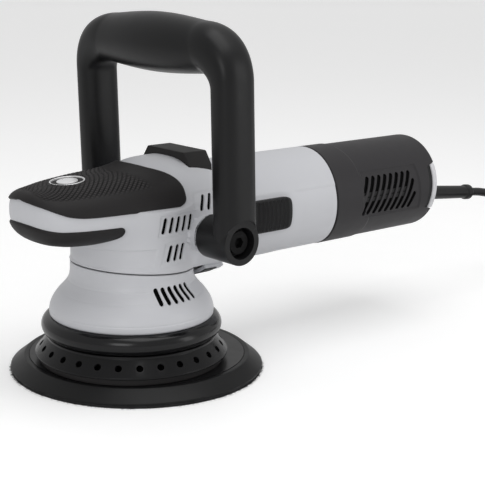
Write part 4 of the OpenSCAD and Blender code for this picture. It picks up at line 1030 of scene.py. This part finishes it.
def skirtShadeSheet():
    # Painted shade: a near-black sheet just inside the skirt, seen through its slots.
    z = np.linspace(42, 62, 24)
    r = smoothRun(z, skirtShape["radius"]) - skirtShape["wall"] - 0.2
    return revolve(np.concatenate([np.stack([r, z], -1), np.stack([r - 0.7, z], -1)[::-1]]), 96)


def skirtSlots():
    # Six leaning slots side by side on each side, each turned round Z from the middle one.
    bars = []
    outline = slotOutline(skirtShape["slotWidth"], skirtShape["slotLength"], -13) + [0, skirtShape["slotZ"]]
    for i in range(skirtShape["slots"]):
        turn = radians(2.5 + skirtShape["slotStep"] * (i - (skirtShape["slots"] - 1) / 2))
        points, faces = sideBar(outline)
        c, s = cos(turn), sin(turn)
        bars.append((points @ np.array([[c, s, 0], [-s, c, 0], [0, 0, 1]]), faces))
    return bars


skirt = makePiece("headSkirt", [makeSkirt()], "housing_grey", "housing", 30, replaces=("head_skirt",))
combine(skirt, bareObject("skirtCutter", mirrored(skirtSlots())), sharp=30)
# Painted shade behind the skirt's slots.
makeShaded(makePiece("skirtShadeSheet", [skirtShadeSheet()], "inner_black", "housing", 40))

bumperLow, bumperHigh = boxOf("bumper_ring")
bumperTube = (bumperHigh[2] - bumperLow[2]) / 2
bumperCentre = np.array([bumperHigh[0] - bumperTube, (bumperLow[2] + bumperHigh[2]) / 2])
bend = np.linspace(radians(-112), radians(112), 60)
bumperOutline = bumperCentre + bumperTube * np.stack([np.cos(bend), np.sin(bend)], -1)
makePiece("bumperRing", [revolve(bumperOutline, 220)], "bumper_rubber", "housing", 40,
          replaces=("bumper_ring",))

ringLow, ringHigh = boxOf("exhaust_ring")
ringShape = {"coneTopR": 49.5, "coneTopZ": 23.0, "holes": 28, "holeR": 2.0}
lipR, lipZ, coneTopR, coneTopZ = ringHigh[0], ringLow[2], ringShape["coneTopR"], ringShape["coneTopZ"]
ringOutline = rounded([
    (lipR - 9.5, lipZ, 0.2), (lipR, lipZ, 0.5), (lipR, lipZ + 1.2, 0.5), (coneTopR, coneTopZ, 0.8),
    (coneTopR, coneTopZ + 1.5, 0.5), (44.5, coneTopZ + 1.5, 0.3), (44.5, ringHigh[2], 0.3),
    (37, ringHigh[2], 0.2), (37, ringHigh[2] - 2.5, 0.3), (42.3, ringHigh[2] - 2.5, 0.5),
    (42.3, coneTopZ - 0.5, 0.5),
    (coneTopR - 1.6, coneTopZ - 0.5, 0.5), (lipR - 2.8, lipZ + 1.7, 0.5), (lipR - 9.5, lipZ + 1.7, 0.2)], 4)
exhaust = makePiece("exhaustRing", [revolve(ringOutline, 280)], "ring_black", "housing", 30,
                    replaces=("exhaust_ring",))


def airHoles():
    # Round holes square to the slanted face, evenly round it.
    count, tilt = ringShape["holes"], np.arctan((lipR - coneTopR) / (coneTopZ - lipZ - 1.2))
    middle = np.array([(lipR + coneTopR) / 2, (lipZ + 1.2 + coneTopZ) / 2 + 0.3])
    drill = []
    a = np.linspace(0, tau, 20, endpoint=False)
    circle = ringShape["holeR"] * np.stack([np.cos(a), np.sin(a)], -1)
    out = np.array([cos(tilt), sin(tilt)])
    up = np.array([-sin(tilt), cos(tilt)])
    for i in range(count):
        turn = tau * (i + 0.5) / count
        points, faces = prism(circle, -4, 6, lambda p: p)
        r = middle[0] + points[:, 2] * out[0] + points[:, 1] * up[0]
        z = middle[1] + points[:, 2] * out[1] + points[:, 1] * up[1]
        side = points[:, 0]
        turned = np.stack([r * cos(turn) - side * sin(turn), r * sin(turn) + side * cos(turn), z], -1)
        drill.append((turned, faces))
    return drill


combine(exhaust, bareObject("holeDrill", airHoles()), sharp=30)
print("skirt and rings made")


# motor casing and rear cover
sliderLow, sliderHigh = boxOf("switch_slider")
switchShape = {"travel": 7.0, "pegX": (77, 87), "pegHalfZ": 3, "slotX": (69, 88), "slotHalfZ": 4,
               "hollowRoom": 4.5}
motorShape = {"wall": 2.6, "segments": 256, "seam": (139.4, -1.8, 1.4), "creaseAngle": 21.5,
              "creaseX": 101.0}
coverShape = {"wall": 1.95, "segments": 300, "columns": 190, "panelDepth": 0.8, "stepDepth": 0.55,
              "slotPitch": 5.7, "slotWidth": 3.3, "slotLean": 0.44, "slots": 10}
coverEndX = coverHigh[0]


def aboutShaft(radius, x, angle):
    # Points round the motor shaft: angle 0 is up and a right angle is the -Y side.
    return np.stack([np.broadcast_to(x, radius.shape), -radius * np.sin(angle),
                     shaftZ + radius * np.cos(angle)], -1)


def seamX(angle):
    # The curved line where the casing meets the cover.
    a, b, c = motorShape["seam"]
    return a + b * np.cos(angle) + c * np.cos(2 * angle)


def makeMotor():
    # Rows along X from the joint to the curved seam on the outside, then back along the inside.
    a = np.linspace(0, tau, motorShape["segments"], endpoint=False)[:, None]
    share = np.concatenate([np.linspace(0, 0.02, 7)[:-1], np.linspace(0.02, 0.985, 130),
                            np.linspace(0.985, 1, 6)[1:]])[None]
    x = jointX + (seamX(a) - jointX) * share
    r = np.full(x.shape, motorR)
    r -= 0.8 * (1 - edgeRound(x - jointX, 1.0)) + 0.6 * (1 - edgeRound(seamX(a) - x, 0.8))
    side = 90 - np.degrees(np.minimum(a, tau - a))
    crease = softStep(-side, -motorShape["creaseAngle"] - 0.6, -motorShape["creaseAngle"] + 0.6)
    r -= 0.3 * crease * softStep(x, motorShape["creaseX"] - 8, motorShape["creaseX"] + 8)
    room = switchShape["hollowRoom"]
    hollowLow, hollowHigh = sliderLow[0] - switchShape["travel"] - room, sliderHigh[0] + room
    u = (2 * x - hollowLow - hollowHigh) / (hollowHigh - hollowLow)
    v = np.radians(side) * motorR / ((sliderHigh[2] - sliderLow[2]) / 2 + 3.5)
    hollow = 1 - softStep((np.abs(u) ** 5 + np.abs(v) ** 5) ** 0.2, 0.84, 1.0)
    r -= 0.5 * hollow * (a < pi)
    backShare = np.linspace(1, 0, 8)[None]
    xBack = jointX + (seamX(a) - jointX) * backShare
    rBack = np.full(xBack.shape, motorR - motorShape["wall"])
    points = np.concatenate([aboutShaft(r, x, a), aboutShaft(rBack, xBack, a)], 1)
    return points, gridFaces(points.shape[0], points.shape[1], True, True)


motor = makePiece("motorHousing", [makeMotor()], "housing_grey", "housing", 30, replaces=("motor_housing",))
switchSlot = sideBar(blockOutline(*switchShape["slotX"], switchShape["slotHalfZ"], 1))
combine(motor, bareObject("slotCutter", [switchSlot]), sharp=30)
sleeveShape = {"outR": 28.8, "inR": 26.4, "start": 84, "end": 142}
sleeveOut, sleeveIn = sleeveShape["outR"], sleeveShape["inR"]
sleeveX0, sleeveX1 = jointX + sleeveShape["start"], jointX + sleeveShape["end"]
sleeveOutline = rounded([(sleeveOut, sleeveX0, 0), (sleeveOut, sleeveX1, 0.5), (sleeveIn, sleeveX1, 0.5),
                         (sleeveIn, sleeveX0, 0)])
makePiece("brushSleeve", [revolve(sleeveOutline, 128, "x", (0, 0, shaftZ))], "inner_black", "housing", 30)


def creaseX(side):
    # Where the cover's front band ends, by the angle above the side.
    return smoothRun(side, [(-90, 173), (-66, 173), (-44, 172.6), (-28, 171.5), (-20, 166), (-10, 163),
                            (0, 161.8), (20, 161), (35, 160.8), (55, 160.3), (69, 159.3), (90, 158.9)])


def coverPanel(x, side):
    # 1 inside the grille's shallow frame and 0 outside: a trapezoid in x and the angle above the side.
    rearEdge = 216 + (33 - side) * 0.09
    frontEdge = creaseX(side) + 1.2
    inside = softStep(side, -26.5, -24.5) * (1 - softStep(side, 30.5, 32.5))
    return inside * softStep(x, frontEdge, frontEdge + 1.4) * (1 - softStep(x, rearEdge - 1.4, rearEdge))


def makeCover():
    # Rows along X from the seam to the rear rim, with a stepped band, a grille panel and a rounded rear edge.
    a = np.linspace(0, tau, coverShape["segments"], endpoint=False)[:, None]
    share = np.linspace(0, 1, coverShape["columns"])[None]
    share = np.concatenate([np.linspace(0, 0.004, 4)[None, :-1], 0.004 + 0.976 * share,
                            np.linspace(0.98, 1, 9)[None, 1:]], 1)
    start = seamX(a) + 0.8
    x = start + (coverEndX - start) * share
    side = 90 - np.degrees(np.minimum(a, tau - a))
    r = np.full(x.shape, motorR)
    r -= coverShape["stepDepth"] * softStep(x, creaseX(side) - 0.7, creaseX(side) + 0.7)
    r -= coverShape["panelDepth"] * coverPanel(x, side)
    r -= 0.5 * (1 - edgeRound(x - start, 0.7)) + 1.1 * (1 - edgeRound(coverEndX - x, 1.6))
    back = np.linspace(1, 0, 8)[None]
    xBack = start + (coverEndX - start) * back
    rBack = np.full(xBack.shape, motorR - coverShape["wall"])
    points = np.concatenate([aboutShaft(r, x, a), aboutShaft(rBack, xBack, a)], 1)
    return points, gridFaces(points.shape[0], points.shape[1], True, True)


def grilleBars():
    # Leaning slots, each as long as the panel's frame leaves room for.
    bars, lean = [], coverShape["slotLean"]
    for i in range(coverShape["slots"]):
        middle = 163.0 + coverShape["slotPitch"] * i
        high = min(102.2, (211 + 20.4 - middle + lean * 89) / (lean + 0.2))
        low = max(77.2, 89 + (163.6 - middle) / lean)
        length = (high - low) / cos(np.arctan(lean))
        centre = (high + low) / 2
        if length > 5:
            outline = slotOutline(coverShape["slotWidth"], length, np.degrees(np.arctan(lean)), 4)
            bars.append(sideBar(outline + [middle + lean * (centre - 89), centre], -40, -16))
    return bars


def notchBars():
    outline = rounded([(coverEndX - 8.5, shaftZ - 14, 1.5), (coverEndX + 5, shaftZ - 17.5, 0),
                       (coverEndX + 5, shaftZ + 17.5, 0), (coverEndX - 8.5, shaftZ + 14, 1.5)])
    return [sideBar(outline, -45, -22)]


cover = makePiece("rearCover", [makeCover()], "cover_charcoal", "housing", 30, replaces=("rear_cover",))
dialLow, dialHigh = boxOf("speed_dial")
dialSlot = sideBar(rounded([(dialLow[0] - 1, dialLow[2] - 0.7, 0.8),
                            (dialHigh[0] + 1, dialLow[2] - 0.7, 0.8),
                            (dialHigh[0] + 1, dialHigh[2] + 0.7, 0.8),
                            (dialLow[0] - 1, dialHigh[2] + 0.7, 0.8)]), 22, 40)
bars = grilleBars()
farBars = [(p * [1, -1, 1], f) for p, f in bars if p[:, 0].max() < dialLow[0] - 2.5]
combine(cover, bareObject("coverCutter", bars + farBars + mirrored(notchBars()) + [dialSlot]), sharp=30)


capShape = {"rimR": 28.6, "tabOut": 2.9, "tabAngle": 30, "depth": 4.2}


def makeCap():
    # A dished end disc whose two tabs fill the notches: radius and depth by angle.
    a = np.linspace(0, tau, 240, endpoint=False)[:, None]
    side = np.degrees(np.abs(a % pi - pi / 2))
    tab = 1 - softStep(side, capShape["tabAngle"] - 1, capShape["tabAngle"] + 1)
    rim, d = capShape["rimR"] + capShape["tabOut"] * tab, capShape["depth"]
    share = np.array([0, 0.5, 0.9, 0.955, 0.985, 1.0, 1.0, 0.985, 0.94, 0.9, 0.86, 0.6, 0.4, 0.36,
                      0.3, 0.0])[None]
    depth = np.array([d, d, d, d, d, 3.9, 0.6, 0.15, 0, 0, 0.8, 1.0, 1.0, 0.5, 0.4, 0.4])[None]
    r = rim * share
    return aboutShaft(r, coverEndX - depth - 0.3, a), gridFaces(240, share.size, True, False)


capPoints, capFaces = makeCap()
makePiece("rearCap", [(capPoints, capFaces)], "cap_silver", "housing", 30, replaces=("rear_cap",))
fillOutline = rounded([(0.5, coverEndX - 9.5, 0), (30.6, coverEndX - 9.5, 0.6),
                       (30.6, coverEndX - 4.4, 0.3), (0.5, coverEndX - 4.4, 0)])
# Painted shade: a near-black sheet just inside the cover, seen through the grille's slots.
shadeSheetOutline = rounded([(29.4, 150, 0), (29.9, 150, 0), (29.9, coverEndX - 10, 0),
                         (29.4, coverEndX - 10, 0)])
coverShade = makePiece("coverShadeSheet", [revolve(shadeSheetOutline, 96, "x", (0, 0, shaftZ))], "inner_black",
                   "housing", 30)
makeShaded(combine(coverShade, bareObject("shadeSheetCutter", [dialSlot]), sharp=30))
makePiece("capSeat", [revolve(fillOutline, 128, "x", (0, 0, shaftZ))], "inner_black", "housing", 30)
print("casing and cover made")


# strain relief
reliefShape = {"rootZ": 79.0, "boreR": 3.05, "flangeR": 7.6, "neckR": 5.6, "waistR": 4.9, "endR": 4.6,
               "collarR": 5.5, "tipR": 3.6}
reliefRoot = np.array([coverEndX, 0, reliefShape["rootZ"]])
reliefTail = np.array(cordFacts["lead"][0], float)


def makeRelief():
    # A tapering sleeve turned round the cord's own line, with a collar near its end and a lip.
    way = reliefTail - reliefRoot
    length = np.linalg.norm(way)
    way /= length
    up = np.cross([0, 1.0, 0], way)
    bore, flange, collar = (reliefShape[k] for k in ("boreR", "flangeR", "collarR"))
    outline = rounded([
        (bore, -4, 0), (flange, -4, 0.6), (flange, 1.4, 0.8), (reliefShape["neckR"], 3.2, 1.2),
        (reliefShape["waistR"], length * 0.4, 30), (reliefShape["endR"], length - 8, 2),
        (collar, length - 6.5, 0.8), (collar, length - 2.6, 0.8), (4.2, length - 1, 0.6),
        (reliefShape["tipR"], length, 0.3), (bore, length, 0)], 5)
    a = np.linspace(0, tau, 72, endpoint=False)[:, None]
    r, s = outline[:, 0][None], outline[:, 1][None]
    ring = (r * np.cos(a))[..., None] * up + (r * np.sin(a))[..., None] * np.array([0, 1.0, 0])
    points = reliefRoot + ring + np.broadcast_to(s[..., None], (72, len(outline), 1)) * way
    return points, gridFaces(72, len(outline), True, True)


makePiece("strainRelief", [makeRelief()], "cord_black", "housing", 32, replaces=("strain_relief",))


# handle
handleShape = {"legX": 12.5, "outY": 71.0, "inY": 54.0, "rise": 106.0, "barR": 17.0, "endR": 14.2,
               "outerCorner": 31.0, "innerCorner": 8.0, "lean": 2.5, "hubR": 12.6, "hubFace": 68.5,
               "pocketR": 9.0, "pocketDepth": 8.0, "spotR": 13.4, "power": 2.7}


def leaned(p):
    # Turned about the pivot, because the handle leans towards the nose at rest.
    t = radians(-handleShape["lean"])
    q = p - [pivotX, 0, pivotZ]
    turned = np.stack([q[..., 0] * cos(t) + q[..., 2] * sin(t), q[..., 1],
                       -q[..., 0] * sin(t) + q[..., 2] * cos(t)], -1)
    return turned + [pivotX, 0, pivotZ]


def makeHandleBow():
    # An inner and an outer line in (y, z) hold each section's ends.
    # The section is a superellipse between them.
    h = handleShape
    barZ = pivotZ + h["rise"]
    outer, inner, half = [], [], []
    legFoot = pivotZ - h["legX"]
    foot = legFoot + h["legX"] * (1 - np.cos(np.linspace(0, pi / 2, 14)))
    rim = np.sqrt(np.clip(h["legX"] ** 2 - (pivotZ - foot) ** 2, 0, None))
    outer.append(np.stack([np.full(14, -h["outY"]), foot], -1))
    inner.append(np.stack([np.full(14, -h["inY"]), foot], -1))
    half.append(np.maximum(rim, 0.3))
    endTop, endLow = barZ + h["endR"], barZ - h["endR"]
    n = 60
    s = np.linspace(0, 1, n)[1:]
    outerZ = pivotZ + (endTop - h["outerCorner"] - pivotZ) * s
    innerZ = pivotZ + (endLow - h["innerCorner"] - pivotZ) * s
    outer.append(np.stack([np.full(n - 1, -h["outY"]), outerZ], -1))
    inner.append(np.stack([np.full(n - 1, -h["inY"]), innerZ], -1))
    half.append(np.full(n - 1, h["legX"]))
    bend = np.linspace(0, pi / 2, 34)[1:]
    co, ci = h["outerCorner"], h["innerCorner"]
    outer.append(np.stack([-h["outY"] + co - co * np.cos(bend), endTop - co + co * np.sin(bend)], -1))
    inner.append(np.stack([-h["inY"] + ci - ci * np.cos(bend), endLow - ci + ci * np.sin(bend)], -1))
    half.append(h["legX"] + (h["endR"] - h["legX"]) * softStep(bend, 0, pi / 2))
    s = np.linspace(0, 1, 40)[1:]

    def swell(y, start):
        return h["endR"] + (h["barR"] - h["endR"]) * np.cos(np.clip(y / start, -1, 1) * pi / 2) ** 1.1

    yo, yi = (-h["outY"] + co) * (1 - s), (-h["inY"] + ci) * (1 - s)
    outer.append(np.stack([yo, barZ + swell(yo, h["outY"] - co)], -1))
    inner.append(np.stack([yi, barZ - swell(yi, h["inY"] - ci)], -1))
    half.append(swell(yi, h["inY"] - ci))
    outer, inner, half = np.concatenate(outer), np.concatenate(inner), np.concatenate(half)
    flip = np.array([-1, 1])
    outer = np.concatenate([outer, outer[-2::-1] * flip])
    inner = np.concatenate([inner, inner[-2::-1] * flip])
    half = np.concatenate([half, half[-2::-1]])
    a = np.linspace(0, tau, 56, endpoint=False)[None]
    roundness = smoothRun(np.abs((outer + inner)[:, 0]) / 2,
                          [(0, 2.0), (40, 2.1), (60, h["power"]), (75, h["power"])])[:, None]
    ca, sa = np.cos(a), np.sin(a)
    along = np.sign(ca) * np.abs(ca) ** (2 / roundness)
    across = np.sign(sa) * np.abs(sa) ** (2 / roundness)
    centre, reach = (outer + inner) / 2, (outer - inner) / 2
    yz = centre[:, None] + reach[:, None] * along[..., None]
    points = np.stack([pivotX + half[:, None] * across, yz[..., 0], yz[..., 1]], -1)
    n, m = points.shape[:2]
    caps = [list(range(m))[::-1], list(range((n - 1) * m, n * m))]
    return leaned(points.reshape(-1, 3)), caps + gridFaces(n, m, False, True).tolist()


def aboutPivot(outline, segments=96):
    # A closed outline of (radius, y) turned round the handle's pivot line.
    points, faces = revolve(outline, segments)
    return np.stack([pivotX + points[..., 0], points[..., 2], pivotZ + points[..., 1]], -1), faces


def atBothHubs(outline, segments=96):
    # One turned shape at each hub.
    return [aboutPivot(outline * [1, side], segments) for side in (1, -1)]


hubR, hubFace, spotR, pocketR = (handleShape[k] for k in ("hubR", "hubFace", "spotR", "pocketR"))
hubStart, pocketFloor, boreR = 43.0, hubFace - handleShape["pocketDepth"], 4.1
hubOutline = rounded([(0, -hubStart, 0), (hubR, -hubStart, 0.8), (hubR, -hubFace, 0.2), (0, -hubFace, 0)])
spotOutline = rounded([(0, -90, 0), (spotR, -90, 0), (spotR, -hubFace, 0.8), (0, -hubFace, 0)])
pocketOutline = rounded([(0, -80, 0), (pocketR, -80, 0), (pocketR, -pocketFloor, 0.6),
                         (boreR, -pocketFloor, 0), (boreR, -30, 0), (0, -30, 0)])
handle = makePiece("dHandle", [makeHandleBow()], "handle_black", "handle", 40, replaces=("d_handle",))
combine(handle, bareObject("hubs", atBothHubs(hubOutline)), "UNION", 40)
combine(handle, bareObject("spotFacer", atBothHubs(spotOutline)), sharp=40)
combine(handle, bareObject("pocketDrill", atBothHubs(pocketOutline, 72)), sharp=40)
print("handle made")


# sliding switch
sliderShape = {"proud": 2.7, "edge": 1.6, "ribPitch": 3.4, "ribDepth": 1.1}


def makeSlider():
    # A curved pad on the casing: rows along X, columns round the shaft. The outline's corners are drawn in by
    # a high power of the other coordinate, the edge is a quarter round and the top has cross ribs.
    halfX, halfZ = (sliderHigh[0] - sliderLow[0]) / 2, (sliderHigh[2] - sliderLow[2]) / 2
    u = np.linspace(-1, 1, 220)[:, None]
    v = np.linspace(-1, 1, 60)[None]
    x = (sliderLow[0] + sliderHigh[0]) / 2 + halfX * u * (1 - 0.13 * v ** 8)
    a = np.arcsin(halfZ / motorR) * v * (1 - 0.2 * u ** 12)
    ex, ez = (1 - np.abs(u)) * halfX, (1 - np.abs(v)) * halfZ
    edge = np.minimum(ex, ez)
    rib = 0.5 - 0.5 * np.cos((u + 1) * halfX * tau / sliderShape["ribPitch"])
    zone = softStep(ex, 3, 4) * softStep(ez, 1.2, 2.4)
    high = motorR - 0.1 + sliderShape["proud"] * edgeRound(edge, sliderShape["edge"])
    high = high - sliderShape["ribDepth"] * zone * rib ** 0.7

    def place(r):
        return np.stack([np.broadcast_to(x, r.shape), -r * np.cos(a), shaftZ + r * np.sin(a)], -1)

    return slab(place(high), place(np.full(high.shape, motorR - 0.3)))


def makePeg():
    outline = blockOutline(*switchShape["pegX"], switchShape["pegHalfZ"], 0.6)
    return sideBar(outline, -motorR - 0.6, -motorR + 1.2)


makePiece("switchSlider", [makeSlider(), makePeg()], "inner_black", "switch", 35,
          replaces=("switch_slider",))


def makeRod():
    # A flat strip just inside the casing and cover, with a stub under the pad and a hook at the rear end.
    rodLow, rodHigh = boxOf("switch_rod")
    spans = [(rodLow[0], rodHigh[0], -motorR + 2.1, -motorR + 2.5),
             (*switchShape["pegX"], -motorR + 1.2, -motorR + 2.1),
             (rodHigh[0] - 3, rodHigh[0], -motorR + 2.5, rodHigh[1])]
    return [sideBar(blockOutline(x0, x1, switchShape["pegHalfZ"], 0.4), y0, y1) for x0, x1, y0, y1 in spans]


makePiece("switchRod", makeRod(), "inner_black", "switch", 35, replaces=("switch_rod",))
print("switch made")


# plate
plateLow, plateHigh = boxOf("plate_foam")
plateMiddle = (plateLow + plateHigh) / 2
plateR, plateZ0, plateZ1 = (plateHigh[0] - plateLow[0]) / 2, plateLow[2], plateHigh[2]
plateShape = {"bevel": 8.0, "rim": 1.4, "hooks": 1300, "hookLength": (0.9, 2.3), "hookR": 0.16}


def makeFoam():
    # The foam's turned outline: upright rim, slanted shoulder, a raised bead and a flat top for the core.
    b = plateShape["bevel"]
    outline = rounded([
        (8, plateZ0, 0), (plateR - 0.3, plateZ0, 0.3), (plateR, plateZ0 + plateShape["rim"], 0.5),
        (plateR - b, plateZ1 - 0.1, 1.4), (plateR - b - 2.6, plateZ1 - 0.1, 0.3),
        (plateR - b - 3, plateZ1 - 0.6, 0.2), (plateR - b - 3.4, plateZ1 - 0.1, 0.3),
        (12, plateZ1 - 0.1, 0), (12, plateZ0 + 2.6, 0), (8, plateZ0 + 2.6, 0)], 6)
    return revolve(outline, 300, "z", (plateMiddle[0], plateMiddle[1], 0))


def makeHooks():
    # Short bent fibres round the rim: each is a thin three-sided spike of four rings that curls outwards.
    n = plateShape["hooks"]
    rng = np.random.default_rng(7)
    turn = np.sort(rng.uniform(0, tau, n))
    z = rng.uniform(0.15, 1.2, n)
    length = rng.uniform(*plateShape["hookLength"], n)
    curl = rng.uniform(-0.7, 0.5, n)
    swing = rng.uniform(-0.6, 0.6, n)
    s = np.linspace(0, 1, 4)[None, :]
    out = length[:, None] * s
    drop = curl[:, None] * s ** 2
    sway = swing[:, None] * s ** 1.5
    thick = plateShape["hookR"] * (1 - 0.75 * s)
    r = plateR - 0.75 + out
    zz = np.maximum(z[:, None] + drop, 0.12)
    a = np.linspace(0, tau, 3, endpoint=False)[None, None]
    t = turn[:, None, None] + (sway[..., None] + thick[..., None] * np.cos(a)) / r[..., None]
    high = zz[..., None] + thick[..., None] * np.sin(a)
    far = np.broadcast_to(r[..., None], t.shape)
    points = np.stack([plateMiddle[0] + far * np.cos(t), plateMiddle[1] + far * np.sin(t),
                       np.broadcast_to(high, t.shape)], -1)
    faces = (gridFaces(4, 3, False, True)[None] + np.arange(n)[:, None, None] * 12).reshape(-1, 4).tolist()
    ends = [[12 * i + 2, 12 * i + 1, 12 * i] for i in range(n)]
    ends += [[12 * i + 9, 12 * i + 10, 12 * i + 11] for i in range(n)]
    return points.reshape(-1, 3), faces + ends


makePiece("plateFoam", [makeFoam()], "plate_foam", "plate", 30, replaces=("plate_foam",))
makePiece("hookFibres", [makeHooks()], "hook_fabric", "plate", 60, merge=1e-6)
print("plate made")
